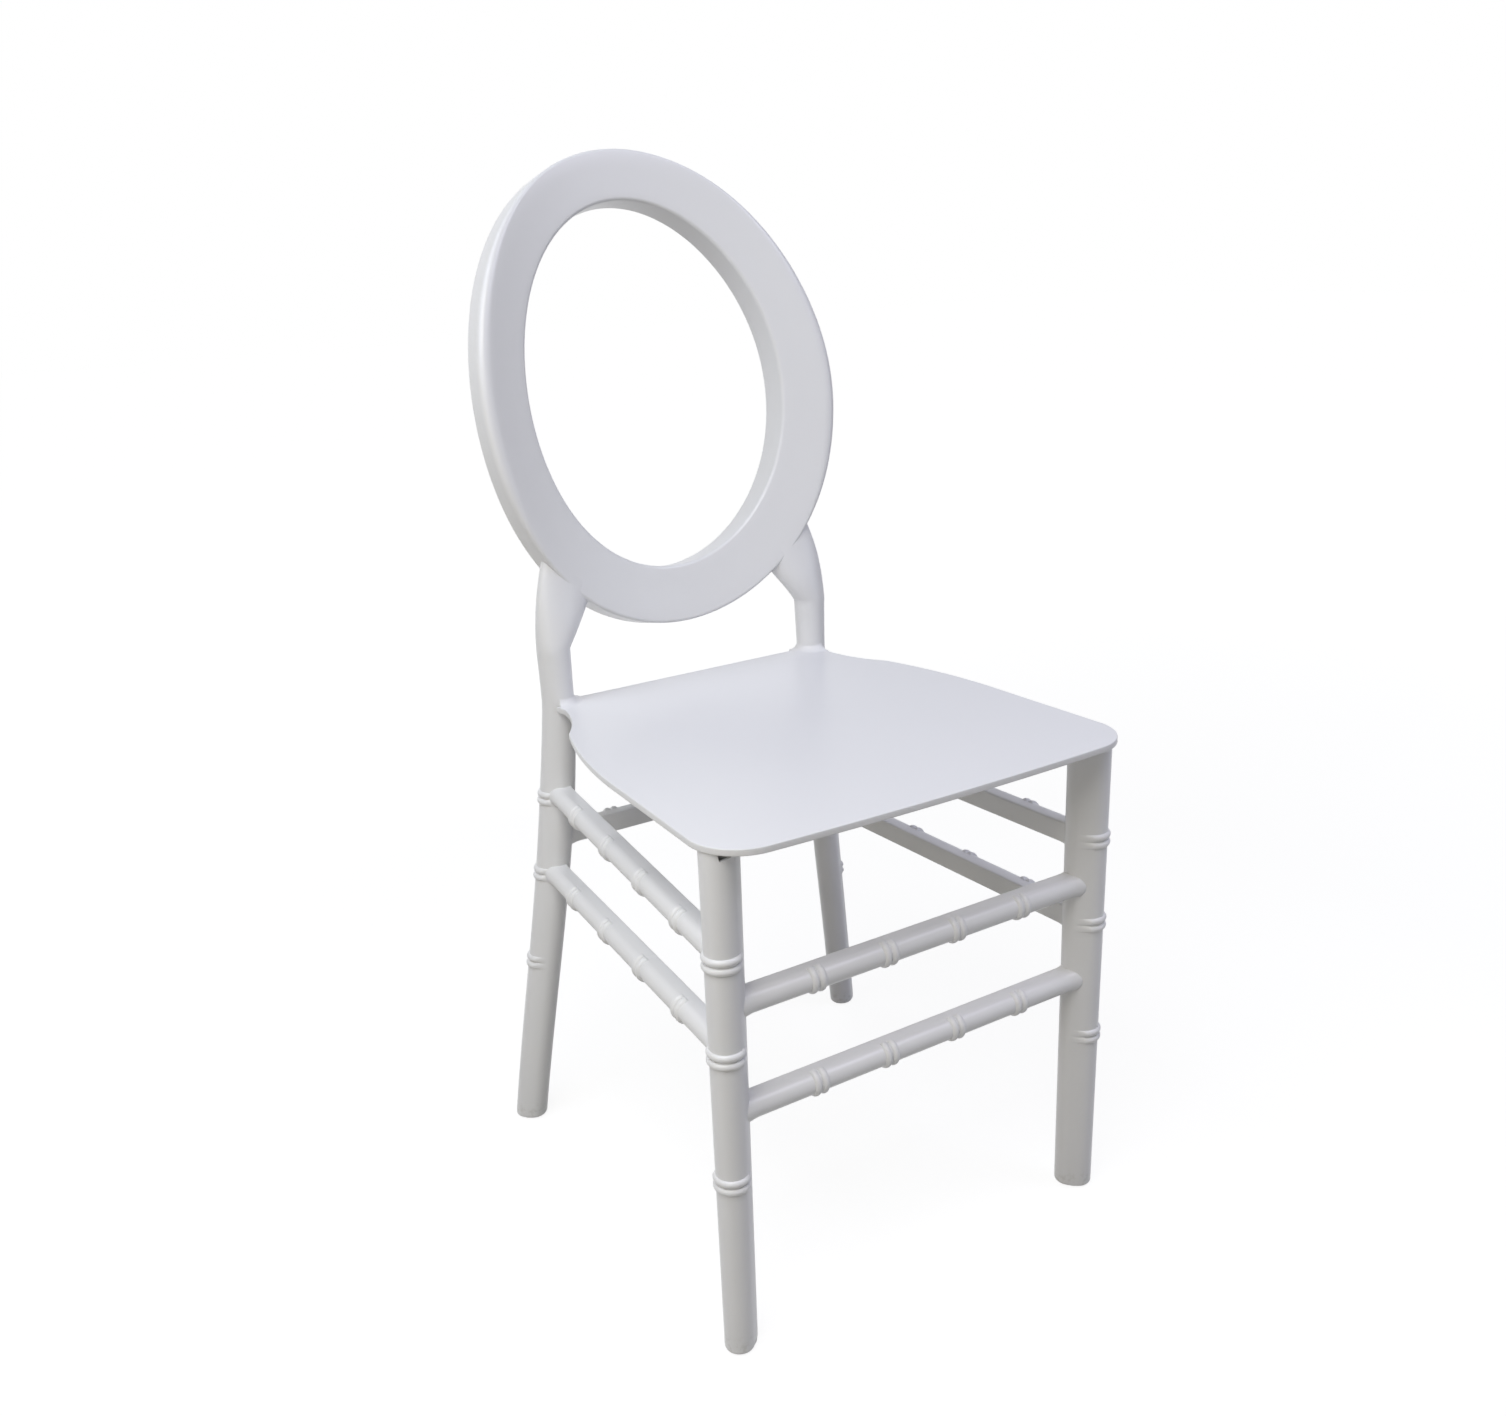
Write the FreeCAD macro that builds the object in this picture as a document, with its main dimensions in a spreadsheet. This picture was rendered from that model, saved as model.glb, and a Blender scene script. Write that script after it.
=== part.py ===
"""Oval hoop back dining chair in white moulded resin.

Millimetres, +Z up, the sitter faces -Y, +X is the right-hand side seen from the front.
The origin lies on the floor under the middle of the chair's overall box.
Pieces on the left are mirror images of the pieces on the right in the plane X = 0.
"""
import FreeCAD, Part
import math
import os

import Sketcher

Vector = FreeCAD.Vector
Rotation = FreeCAD.Rotation
Placement = FreeCAD.Placement

UP = Vector(0, 0, 1)
RIGHT = Vector(1, 0, 0)
BACK = Vector(0, 1, 0)
ORIGIN = Vector(0, 0, 0)

DIMENSIONS = {
    # Seat plate
    "seat_top": 440.0,
    "seat_edge": 5.5,
    "seat_edge_round": 2.0,
    "seat_back_y": 138.5,
    "seat_corner_start_x": 155.3,
    "seat_corner_start_y": -253.5,
    "seat_corner_end_x": 195.3,
    "seat_corner_end_y": -209.9,
    "seat_corner_radius": 42.0,
    "seat_front_radius": 3282.0,
    "seat_side_x": 191.2,
    "seat_side_y": -95.0,
    "seat_side_radius": 480.0,
    "seat_rear_x": 126.0,
    "seat_post_bite": 16.0,
    "seat_collar_radius": 20.5,
    "seat_collar_height": 8.0,
    "seat_collar_sweep": 100.0,
    "seat_rib_depth": 12.0,
    "seat_rib_width": 6.0,
    "seat_rib_side_x": 143.0,
    "seat_rib_front_y": -180.0,
    "seat_rib_middle_y": -40.0,
    "seat_rib_rear_y": 112.0,
    "seat_block_depth": 22.0,
    "seat_block_inner_x": 104.0,
    "seat_block_outer_x": 121.0,
    "seat_block_front_y": 116.0,
    "seat_block_rear_y": 134.0,
    "seat_plug_radius": 9.0,
    "seat_plug_depth": 30.0,
    # Feet
    "foot_gap": 2.0,
    "foot_bevel": 3.0,
    "foot_bevel_height": 5.0,
    "glide_radius": 8.2,
    "glide_stem_radius": 4.0,
    "glide_stem_height": 15.0,
    # Front legs
    "front_foot_x": 177.3,
    "front_foot_y": -211.6,
    "front_top_x": 175.6,
    "front_top_y": -218.5,
    "front_foot_radius": 12.2,
    "front_top_radius": 13.9,
    "front_half_gap": 4.0,
    # Rear legs, posts and shoulders
    "rear_foot_x": 192.3,
    "rear_foot_y": 177.7,
    "rear_top_x": 138.6,
    "rear_top_y": 136.2,
    "rear_bow_x": 4.5,
    "rear_bow_y": 3.1,
    "rear_foot_radius": 12.4,
    "rear_top_radius": 13.9,
    "rear_half_gap": 3.2,
    "post_half_gap": 0.4,
    "post_radius": 14.3,
    "flare_root_drop": 30.0,
    "flare_root_radius": 11.5,
    "flare_start_z": 484.0,
    "flare_start_swell": 0.4,
    "flare_height": 75.0,
    "flare_inner_reach": 43.0,
    "flare_outer_reach": 8.5,
    "flare_back_reach": 13.0,
    "flare_twist": -20.0,
    "flare_depth_loss": 1.3,
    # Back hoop
    "hoop_centre_y": 181.7,
    "hoop_centre_z": 704.6,
    "hoop_lean": 11.3,
    "hoop_half_width": 178.7,
    "hoop_half_height": 216.8,
    "hoop_egg": 0.033,
    "hoop_band": 49.7,
    "hoop_band_top": 45.6,
    "hoop_band_bottom": 51.8,
    "hoop_depth": 32.4,
    "hoop_wrap_radius": 375.0,
    "hoop_round": 5.0,
    "tongue_angle": 136.0,
    "tongue_width": 24.0,
    "tongue_depth": 13.0,
    "tongue_reach": 28.0,
    "tongue_root": 12.0,
    # Stretchers
    "stretcher_height": 18.9,
    "stretcher_outer": 10.1,
    "stretcher_inner": 9.0,
    "front_upper_z": 303.9,
    "front_lower_z": 214.2,
    "side_upper_front_z": 345.1,
    "side_upper_rear_z": 350.7,
    "side_lower_front_z": 268.3,
    "side_lower_rear_z": 271.2,
    "rear_stretcher_z": 308.2,
    "tenon_radius": 6.6,
    "tenon_stop": 4.0,
    "tenon_root": 26.0,
    # Twin half rings
    "bead_radius": 3.2,
    "bead_proud": 2.2,
    "bead_pitch": 7.0,
    "front_ring_pitch": 67.0,
    "side_ring_pitch": 75.0,
    "rear_ring_pitch": 60.0,
    # Screws and fits
    "screw_radius": 2.0,
    "screw_head_radius": 4.0,
    "screw_head_height": 2.4,
    "screw_tip": 3.0,
    "screw_recess": 1.2,
    "hoop_screw_length": 24.0,
    "hoop_screw_pitch": 14.0,
    "front_screw_length": 22.0,
    "rear_screw_length": 32.0,
    "seat_screw_drop": 20.0,
    "fit": 0.15,
}

FRONT_RING_HEIGHTS = (351.6, 274.8, 166.0)
REAR_RING_HEIGHTS = (354.5, 280.0, 186.0)
REAR_SECTION_HEIGHTS = (110.0, 220.0, 330.0)
FLARE_STEPS = (0.0, 1.0 / 3.0, 2.0 / 3.0, 1.0, 4.0 / 3.0)
EGG_POINTS = 28
RING_STEPS = (-1.5, -0.5, 0.5, 1.5)
REACH = 300.0

doc = FreeCAD.newDocument("hoop_back_chair")
sheet = doc.addObject("Spreadsheet::Sheet", "dims")
for row, (alias, number) in enumerate(DIMENSIONS.items(), start=1):
    sheet.set(f"A{row}", alias)
    sheet.set(f"B{row}", str(number))
    sheet.setAlias(f"B{row}", alias)
doc.recompute()


def size(alias):
    """Value of one driving dimension, read from the sheet."""
    return float(sheet.get(alias))


def bind(item, **formulas):
    """Drive an object's properties by formulas on the sheet."""
    for prop, formula in formulas.items():
        item.setExpression(prop, formula)
    return item


def unit(vector):
    """Copy of a vector with length one."""
    return Vector(vector).normalize()


# Primitive shapes and booleans


def solid(kind, name, place=None, **formulas):
    """Primitive solid with sheet-driven sizes."""
    item = bind(doc.addObject("Part::" + kind, name), **formulas)
    if place is not None:
        item.Placement = place
    return item


def fuse(name, items):
    """Union of several objects."""
    item = doc.addObject("Part::MultiFuse", name)
    item.Shapes = list(items)
    item.Refine = False
    return item


def cut(name, base, tool):
    """One object with another taken away."""
    item = doc.addObject("Part::Cut", name)
    item.Base = base
    item.Tool = tool
    item.Refine = False
    return item


def mirror(name, source):
    """Mirror image in the plane X = 0."""
    item = doc.addObject("Part::Mirroring", name)
    item.Source = source
    item.Normal = RIGHT
    item.Base = ORIGIN
    return item


def shaped(name, shape, place=None):
    """Object that holds a shape made by formula from sheet sizes."""
    item = doc.addObject("Part::Feature", name)
    item.Shape = shape
    if place is not None:
        item.Placement = place
    return item


# Sketches


def new_body(name):
    """Empty body."""
    return doc.addObject("PartDesign::Body", name)


def new_sketch(body, name, role, turn=0.0, **offsets):
    """Sketch on one of the body's own planes, shifted by formulas and turned about its normal."""
    sketch = body.newObject("Sketcher::SketchObject", name)
    plane = next(item for item in body.Origin.OriginFeatures if item.Role == role)
    sketch.AttachmentSupport = [(plane, "")]
    sketch.MapMode = "FlatFace"
    sketch.AttachmentOffset = Placement(ORIGIN, Rotation(UP, turn))
    for axis, formula in offsets.items():
        sketch.setExpression("AttachmentOffset.Base." + axis, formula)
    return sketch


def drive(sketch, name, formula, kind, *where):
    """Named dimension of a sketch, driven by a formula on the sheet."""
    value = float(sketch.evalExpression(formula))
    index = sketch.addConstraint(Sketcher.Constraint(kind, *where, value))
    sketch.renameConstraint(index, name)
    sketch.setExpression("Constraints." + name, formula)


def line(start, end):
    """Straight sketch segment."""
    return Part.LineSegment(Vector(*start, 0), Vector(*end, 0))


def arc(centre, radius, start, end):
    """Sketch arc, angles in degrees, anticlockwise."""
    circle = Part.Circle(Vector(*centre, 0), UP, radius)
    return Part.ArcOfCircle(circle, math.radians(start), math.radians(end))


def stadium(sketch, radius, half_gap):
    """Two half rounds joined by short flats, long axis along the sketch's X."""
    r = float(sketch.evalExpression(radius))
    c = float(sketch.evalExpression(half_gap))
    sketch.addGeometry(arc((c, 0), r, -90, 90))
    sketch.addGeometry(line((c, r), (-c, r)))
    sketch.addGeometry(arc((-c, 0), r, 90, 270))
    sketch.addGeometry(line((-c, -r), (c, -r)))
    for index in range(4):
        following = (index + 1) % 4
        sketch.addConstraint(Sketcher.Constraint("Tangent", index, 2, following, 1))
    sketch.addConstraint(Sketcher.Constraint("Equal", 0, 2))
    sketch.addConstraint(Sketcher.Constraint("Symmetric", 0, 3, 2, 3, -1, 1))
    sketch.addConstraint(Sketcher.Constraint("PointOnObject", 0, 3, -1))
    drive(sketch, "round", radius, "Radius", 0)
    drive(sketch, "gap", half_gap, "DistanceX", -1, 1, 0, 3)
    return sketch


def ellipse(sketch, half_length, half_depth):
    """Ellipse about the sketch's origin, long axis along the sketch's X."""
    a = float(sketch.evalExpression(half_length))
    b = float(sketch.evalExpression(half_depth))
    sketch.addGeometry(Part.Ellipse(Vector(a, 0, 0), Vector(0, b, 0), ORIGIN))
    sketch.exposeInternalGeometry(0)
    sketch.addConstraint(Sketcher.Constraint("Coincident", 0, 3, -1, 1))
    sketch.addConstraint(Sketcher.Constraint("Horizontal", 1))
    drive(sketch, "length", f"2 * ({half_length})", "Distance", 1)
    drive(sketch, "depth", f"2 * ({half_depth})", "Distance", 2)
    return sketch


def rectangle(sketch, left, front, right, rear):
    """Rectangle between four sheet-driven sides."""
    x0, y0, x1, y1 = (float(sketch.evalExpression(side)) for side in (left, front, right, rear))
    corners = ((x0, y0), (x1, y0), (x1, y1), (x0, y1))
    for index in range(4):
        sketch.addGeometry(line(corners[index], corners[(index + 1) % 4]))
    for index in range(4):
        sketch.addConstraint(Sketcher.Constraint("Coincident", index, 2, (index + 1) % 4, 1))
        sketch.addConstraint(Sketcher.Constraint("Vertical" if index % 2 else "Horizontal", index))
    drive(sketch, "left", left, "DistanceX", -1, 1, 0, 1)
    drive(sketch, "front", front, "DistanceY", -1, 1, 0, 1)
    drive(sketch, "right", right, "DistanceX", -1, 1, 2, 1)
    drive(sketch, "rear", rear, "DistanceY", -1, 1, 2, 1)
    return sketch


def loft(body, name, sections):
    """Solid through a row of sections."""
    item = body.newObject("PartDesign::AdditiveLoft", name)
    item.Profile = sections[0]
    item.Sections = sections[1:]
    return item


def pad(body, name, sketch, length, reverse=False):
    """Straight extrusion of a sketch."""
    item = body.newObject("PartDesign::Pad", name)
    item.Profile = sketch
    item.Reversed = reverse
    return bind(item, Length=length)


# Axes of the legs


def front_axis(z):
    """Point on the right front leg's axis at a height."""
    share = z / size("seat_top")
    foot = Vector(size("front_foot_x"), size("front_foot_y"), 0)
    top = Vector(size("front_top_x"), size("front_top_y"), size("seat_top"))
    return foot + (top - foot) * share


def bow_share(z):
    """Share of the rear leg's bow at a height: none at the foot and the seat, full at two thirds."""
    share = z / size("seat_top")
    return 6.75 * share * share * (1.0 - share)


def rear_axis(z):
    """Point on the right rear leg's axis at a height up to the seat."""
    share = z / size("seat_top")
    foot = Vector(size("rear_foot_x"), size("rear_foot_y"), 0)
    top = Vector(size("rear_top_x"), size("rear_top_y"), size("seat_top"))
    bow = Vector(size("rear_bow_x"), size("rear_bow_y"), 0)
    return foot + (top - foot) * share - bow * bow_share(z)


def between(foot, top, z):
    """Formula for a size that changes evenly from the foot to the seat."""
    return f"dims.{foot} + (dims.{top} - dims.{foot}) * {z} / dims.seat_top"


# Twin half rings

FRONT_OUTWARD = unit(Vector(1, -1, 0))
REAR_OUTWARD = unit(Vector(1, 1, 0))


def twin_half_rings(name, centre, axis, outward, radius):
    """Two beads side by side round the outer half of a leg or stretcher."""
    side = unit(outward.cross(axis))
    turn = Rotation(side, unit(axis.cross(side)), unit(axis), "ZXY")
    beads = []
    for step, end in ((-0.5, "a"), (0.5, "b")):
        spot = centre + unit(axis) * (step * size("bead_pitch"))
        bead = solid(
            "Torus",
            f"{name}_{end}",
            Placement(spot, turn),
            Radius1=f"{radius} - dims.bead_radius + dims.bead_proud",
            Radius2="dims.bead_radius",
        )
        bead.Angle3 = 180
        beads.append(bead)
    return beads


# Front leg


def front_leg_blank():
    """Right front leg without its holes."""
    body = new_body("front_leg_core")
    sections = []
    low = size("foot_gap") + size("foot_bevel_height")
    under_seat = size("seat_top") - size("seat_edge")
    for name, z, bevel in (
        ("front_foot", size("foot_gap"), "dims.foot_bevel"),
        ("front_low", low, "0"),
        ("front_high", under_seat, "0"),
    ):
        sketch = new_sketch(
            body,
            name,
            "XY_Plane",
            turn=-45.0,
            x=between("front_foot_x", "front_top_x", z),
            y=between("front_foot_y", "front_top_y", z),
            z=str(z),
        )
        radius = between("front_foot_radius", "front_top_radius", z)
        sections.append(stadium(sketch, f"{radius} - {bevel}", "dims.front_half_gap"))
    loft(body, "front_leg_bevel", sections[:2])
    loft(body, "front_leg_shaft", sections[1:])
    beads = []
    axis = unit(front_axis(1.0) - front_axis(0.0))
    for index, z in enumerate(FRONT_RING_HEIGHTS):
        centre = front_axis(z) + FRONT_OUTWARD * size("front_half_gap")
        radius = between("front_foot_radius", "front_top_radius", z)
        beads += twin_half_rings(f"front_leg_ring_{index}", centre, axis, FRONT_OUTWARD, radius)
    return fuse("front_leg_blank", [body] + beads)


# Rear leg with its post and shoulder


def flare_sections(body):
    """Ellipses that widen from the post towards the hoop and turn with its wrap."""
    root = new_sketch(
        body,
        "flare_root",
        "XY_Plane",
        x="dims.rear_top_x",
        y="dims.rear_top_y",
        z="dims.flare_start_z - dims.flare_root_drop",
    )
    sections = [ellipse(root, "dims.flare_root_radius", "dims.flare_root_radius - 0.1")]
    start = "dims.post_radius + dims.flare_start_swell"
    for index, step in enumerate(FLARE_STEPS):
        inner = f"{start} + dims.flare_inner_reach * {step ** 1.2:.5f}"
        outer = f"{start} - dims.flare_outer_reach * {step ** 2:.5f}"
        sketch = new_sketch(
            body,
            f"flare_{index}",
            "XY_Plane",
            turn=size("flare_twist") * step,
            x=f"dims.rear_top_x + (({outer}) - ({inner})) / 2",
            y=f"dims.rear_top_y + dims.flare_back_reach * {step ** 1.8:.5f}",
            z=f"dims.flare_start_z + dims.flare_height * {step:.5f}",
        )
        depth = f"{start} - 0.1 - dims.flare_depth_loss * {step:.5f}"
        sections.append(ellipse(sketch, f"(({outer}) + ({inner})) / 2", depth))
    return sections


def rear_section(body, name, z, radius, half_gap):
    """Cross-section of the rear leg at a height up to the seat."""
    bow = f"{bow_share(z):.5f}"
    sketch = new_sketch(
        body,
        name,
        "XY_Plane",
        turn=45.0,
        x=f"{between('rear_foot_x', 'rear_top_x', z)} - dims.rear_bow_x * {bow}",
        y=f"{between('rear_foot_y', 'rear_top_y', z)} - dims.rear_bow_y * {bow}",
        z=str(z),
    )
    return stadium(sketch, radius, half_gap)


def rear_leg_blank():
    """Right rear leg, post and shoulder, without holes and before the hoop's rim is cut in."""
    body = new_body("rear_leg_core")
    foot = size("foot_gap")
    low = foot + size("foot_bevel_height")
    seat = size("seat_top")
    gap = "dims.rear_half_gap"

    def radius(z):
        return between("rear_foot_radius", "rear_top_radius", z)

    toe = rear_section(body, "rear_foot", foot, f"{radius(foot)} - dims.foot_bevel", gap)
    shaft = [rear_section(body, "rear_low", low, radius(low), gap)]
    for index, z in enumerate(REAR_SECTION_HEIGHTS):
        shaft.append(rear_section(body, f"rear_mid_{index}", z, radius(z), gap))
    shaft.append(rear_section(body, "rear_seat", seat, radius(seat), f"{gap} / 2"))
    post = new_sketch(
        body,
        "rear_post",
        "XY_Plane",
        turn=45.0,
        x="dims.rear_top_x",
        y="dims.rear_top_y",
        z="dims.flare_start_z",
    )
    shaft.append(stadium(post, "dims.post_radius - dims.post_half_gap", "dims.post_half_gap"))
    loft(body, "rear_leg_bevel", [toe, shaft[0]])
    loft(body, "rear_leg_shaft", shaft)
    shoulder = new_body("rear_shoulder_core")
    loft(shoulder, "rear_leg_flare", flare_sections(shoulder))
    beads = []
    for index, z in enumerate(REAR_RING_HEIGHTS):
        axis = unit(rear_axis(z + 1.0) - rear_axis(z - 1.0))
        outward = unit(REAR_OUTWARD - axis * REAR_OUTWARD.dot(axis))
        centre = rear_axis(z) + REAR_OUTWARD * size("rear_half_gap")
        beads += twin_half_rings(f"rear_leg_ring_{index}", centre, axis, outward, radius(z))
    return fuse("rear_leg_blank", [body, shoulder] + beads)


# Hoop

HOOP_PLACE = Placement(
    Vector(0, size("hoop_centre_y"), size("hoop_centre_z")),
    Rotation(RIGHT, -size("hoop_lean")),
)


def egg_point(angle, inset):
    """Point of the hoop's outline, angle from the top in degrees, in the hoop's own XZ plane."""
    turn = math.radians(angle)
    half_width = size("hoop_half_width") - inset
    half_height = size("hoop_half_height") - inset
    widen = 1.0 - size("hoop_egg") * math.cos(turn)
    return Vector(half_width * math.sin(turn) * widen, 0, half_height * math.cos(turn))


def opening_point(angle):
    """Point of the opening's outline, angle from the top in degrees, in the hoop's own XZ plane."""
    turn = math.radians(angle)
    top = size("hoop_half_height") - size("hoop_band_top")
    bottom = size("hoop_half_height") - size("hoop_band_bottom")
    half_width = size("hoop_half_width") - size("hoop_band")
    widen = 1.0 - size("hoop_egg") * math.cos(turn)
    z = (top - bottom) / 2 + (top + bottom) / 2 * math.cos(turn)
    return Vector(half_width * math.sin(turn) * widen, 0, z)


def rim_prism(inset):
    """Oval prism along the hoop's depth, its outer outline drawn in by an inset."""
    return oval_prism([egg_point(360.0 * step / EGG_POINTS, inset) for step in range(EGG_POINTS)])


def oval_prism(points):
    """Prism along the hoop's depth through the points of a closed outline."""
    curve = Part.BSplineCurve()
    curve.interpolate(Points=points, PeriodicFlag=True)
    face = Part.Face(Part.Wire(curve.toShape()))
    face.translate(BACK * -REACH / 2)
    return face.extrude(BACK * REACH)


def hoop_wrap(shift):
    """Upright cylinder whose back is the hoop's curved face, moved back by a shift."""
    radius = size("hoop_wrap_radius")
    start = Vector(0, shift - radius, -REACH)
    return Part.makeCylinder(radius, 2 * REACH, start)


def hoop_ring():
    """Oval ring with a wrapped face and soft edges, in the hoop's own frame."""
    opening = oval_prism([opening_point(360.0 * step / EGG_POINTS) for step in range(EGG_POINTS)])
    oval = rim_prism(0.0).cut(opening)
    wrap = hoop_wrap(size("hoop_depth")).cut(hoop_wrap(0.0))
    ring = oval.common(wrap).Solids[0]
    return ring.makeFillet(size("hoop_round"), ring.Edges)


def face_depth(x):
    """Depth of the hoop's front face at a distance from the middle, negative towards the sitter."""
    radius = size("hoop_wrap_radius")
    return math.sqrt(radius * radius - x * x) - radius


def tongue_frame():
    """Place on the right of the hoop's rim where the leg's tongue enters, X along the rim, Z inward."""
    angle = size("tongue_angle")
    spot = egg_point(angle, 0.0)
    along = unit(egg_point(angle + 1.0, 0.0) - egg_point(angle - 1.0, 0.0))
    inward = unit(along.cross(BACK) * -1)
    if inward.dot(spot) > 0:
        inward = inward * -1
    spot = spot + BACK * (face_depth(spot.x) + size("hoop_depth") / 2)
    turn = Rotation(BACK.cross(inward), BACK, inward, "ZYX")
    return HOOP_PLACE.multiply(Placement(spot, turn))


def tongue(name, grow):
    """Block that ties the leg's shoulder into the hoop."""
    width = size("tongue_width") + 2 * grow
    depth = size("tongue_depth") + 2 * grow
    shift = Vector(-width / 2, -depth / 2, -size("tongue_root"))
    place = tongue_frame().multiply(Placement(shift, Rotation()))
    return solid(
        "Box",
        name,
        place,
        Length=f"dims.tongue_width + 2 * {grow}",
        Width=f"dims.tongue_depth + 2 * {grow}",
        Height=f"dims.tongue_root + dims.tongue_reach + {grow}",
    )


# Screws


def screw_shape(length, grow=0.0):
    """Countersunk screw, head face on the origin, pointing along +Z."""
    head = size("screw_head_radius") + grow
    shank = size("screw_radius") + grow
    cone = size("screw_head_height")
    tip = size("screw_tip")
    end = length + grow
    outline = [
        Vector(0, 0, 0),
        Vector(head, 0, 0),
        Vector(shank, 0, cone),
        Vector(shank, 0, end - tip),
        Vector(0, 0, end),
    ]
    face = Part.Face(Part.makePolygon(outline + outline[:1]))
    shape = face.revolve(ORIGIN, UP, 360)
    if grow > 0:
        return shape
    recess = size("screw_recess")
    for turn in (0, 90):
        slot = Part.makeBox(head, recess, 2 * recess, Vector(-head / 2, -recess / 2, -recess))
        slot.rotate(ORIGIN, UP, turn)
        shape = shape.cut(slot)
    return shape


def screw_places_hoop():
    """Two places at the right shoulder, on the hoop's back face, pointing to the front."""
    angle = size("tongue_angle")
    along = unit(egg_point(angle + 1.0, 0.0) - egg_point(angle - 1.0, 0.0))
    middle = egg_point(angle, size("tongue_reach") / 2)
    places = []
    for step in (-0.5, 0.5):
        spot = middle + along * (step * size("hoop_screw_pitch"))
        spot = spot + BACK * (face_depth(spot.x) + size("hoop_depth"))
        slope = math.degrees(math.asin(spot.x / size("hoop_wrap_radius")))
        turn = Rotation(UP, -slope).multiply(Rotation(RIGHT, 90))
        places.append(HOOP_PLACE.multiply(Placement(spot, turn)))
    return places


def screw_place_front():
    """Place inside the right front leg, pointing out to the seat's plug."""
    z = size("seat_top") - size("seat_screw_drop")
    radius = size("front_foot_radius") + (size("front_top_radius") - size("front_foot_radius")) * z / size("seat_top")
    spot = front_axis(z) - FRONT_OUTWARD * (size("front_half_gap") + radius - 0.4)
    return Placement(spot, Rotation(UP, FRONT_OUTWARD))


def screw_place_rear():
    """Place on the right rear block under the seat, pointing out to the leg."""
    y = (size("seat_block_front_y") + size("seat_block_rear_y")) / 2
    z = size("seat_top") - size("seat_screw_drop")
    spot = Vector(size("seat_block_inner_x"), y, z)
    return Placement(spot, Rotation(UP, RIGHT))


def placed(shape, place):
    """Copy of a shape at a place."""
    copy = shape.copy()
    copy.Placement = place
    return copy


def screw_set(places, length, grow=0.0):
    """Screws at the places on the right and at their mirror places on the left."""
    shape = screw_shape(length, grow)
    right = [placed(shape, place) for place in places]
    left = [item.mirror(ORIGIN, RIGHT) for item in right]
    return Part.makeCompound(right + left)


# Stretchers


def stretcher_frame(start, end, outward):
    """Frame with X along the stretcher, Y outward and Z upward."""
    along = unit(end - start)
    upward = unit(along.cross(outward))
    return Placement(start, Rotation(along, upward.cross(along), upward, "XZY"))


def stretcher_bar(name, place, length, pitch):
    """Half-round bar with four twin half rings, between the axes of two legs."""
    body = new_body(name + "_bar")
    sketch = new_sketch(body, name + "_section", "YZ_Plane")
    radius = size("stretcher_height") / 2
    centre = size("stretcher_outer") - radius
    flat = -size("stretcher_inner")
    sketch.addGeometry(arc((centre, 0), radius, -90, 90))
    sketch.addGeometry(line((centre, radius), (flat, radius)))
    sketch.addGeometry(line((flat, radius), (flat, -radius)))
    sketch.addGeometry(line((flat, -radius), (centre, -radius)))
    for index in range(4):
        sketch.addConstraint(Sketcher.Constraint("Coincident", index, 2, (index + 1) % 4, 1))
    sketch.addConstraint(Sketcher.Constraint("PointOnObject", 0, 3, -1))
    sketch.addConstraint(Sketcher.Constraint("Horizontal", 1))
    sketch.addConstraint(Sketcher.Constraint("Vertical", 2))
    sketch.addConstraint(Sketcher.Constraint("Horizontal", 3))
    sketch.addConstraint(Sketcher.Constraint("Vertical", 0, 1, 0, 2))
    drive(sketch, "height", "dims.stretcher_height", "DistanceY", 3, 1, 1, 1)
    drive(sketch, "outer", "dims.stretcher_outer - dims.stretcher_height / 2", "DistanceX", -1, 1, 0, 3)
    drive(sketch, "inner", "-dims.stretcher_inner", "DistanceX", -1, 1, 1, 2)
    pad(body, name + "_length", sketch, str(length))
    body.Placement = place
    beads = []
    along = place.Rotation.multVec(RIGHT)
    outward = place.Rotation.multVec(BACK)
    for index, step in enumerate(RING_STEPS):
        spot = place.multVec(Vector(length / 2 + step * pitch, centre, 0))
        beads += twin_half_rings(f"{name}_ring_{index}", spot, along, outward, "dims.stretcher_height / 2")
    return fuse(name + "_blank", [body] + beads)


def tenon_place(place, distance, flip):
    """Place on a stretcher's middle line at a distance from one end, Z pointing along the bar."""
    middle = (size("stretcher_outer") - size("stretcher_inner")) / 2
    turn = Rotation(UP, RIGHT * (-1 if flip else 1))
    return place.multiply(Placement(Vector(distance, middle, 0), turn))


def tenon(name, place, length, flip, grow):
    """Round tenon in a stretcher's end, or its mortise in the leg when grown."""
    stop = size("tenon_stop") - grow
    distance = length - stop if flip else stop
    return solid(
        "Cylinder",
        name,
        tenon_place(place, distance, flip),
        Radius=f"dims.tenon_radius + {grow}",
        Height="dims.tenon_root",
    )


# Build

front_blank = front_leg_blank()
rear_blank = rear_leg_blank()
front_blank_left = mirror("front_leg_blank_left", front_blank)
rear_blank_left = mirror("rear_leg_blank_left", rear_blank)
doc.recompute()

fit = size("fit")
front_mortises = []
rear_mortises = []
nodes = {}


def flipped(point):
    """Mirror image of a point in the plane X = 0."""
    return Vector(-point.x, point.y, point.z)


def stretcher(name, start, end, outward, pitch, legs):
    """Stretcher cut to fit against its legs, with a tenon at each end."""
    place = stretcher_frame(start, end, outward)
    length = (end - start).Length
    blank = stretcher_bar(name, place, length, pitch)
    trimmed = cut(name + "_trimmed", blank, fuse(name + "_legs", legs))
    ends = [tenon(f"{name}_tenon_{flip}", place, length, flip, 0.0) for flip in (0, 1)]
    return place, length, fuse(name, [trimmed] + ends)


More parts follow.
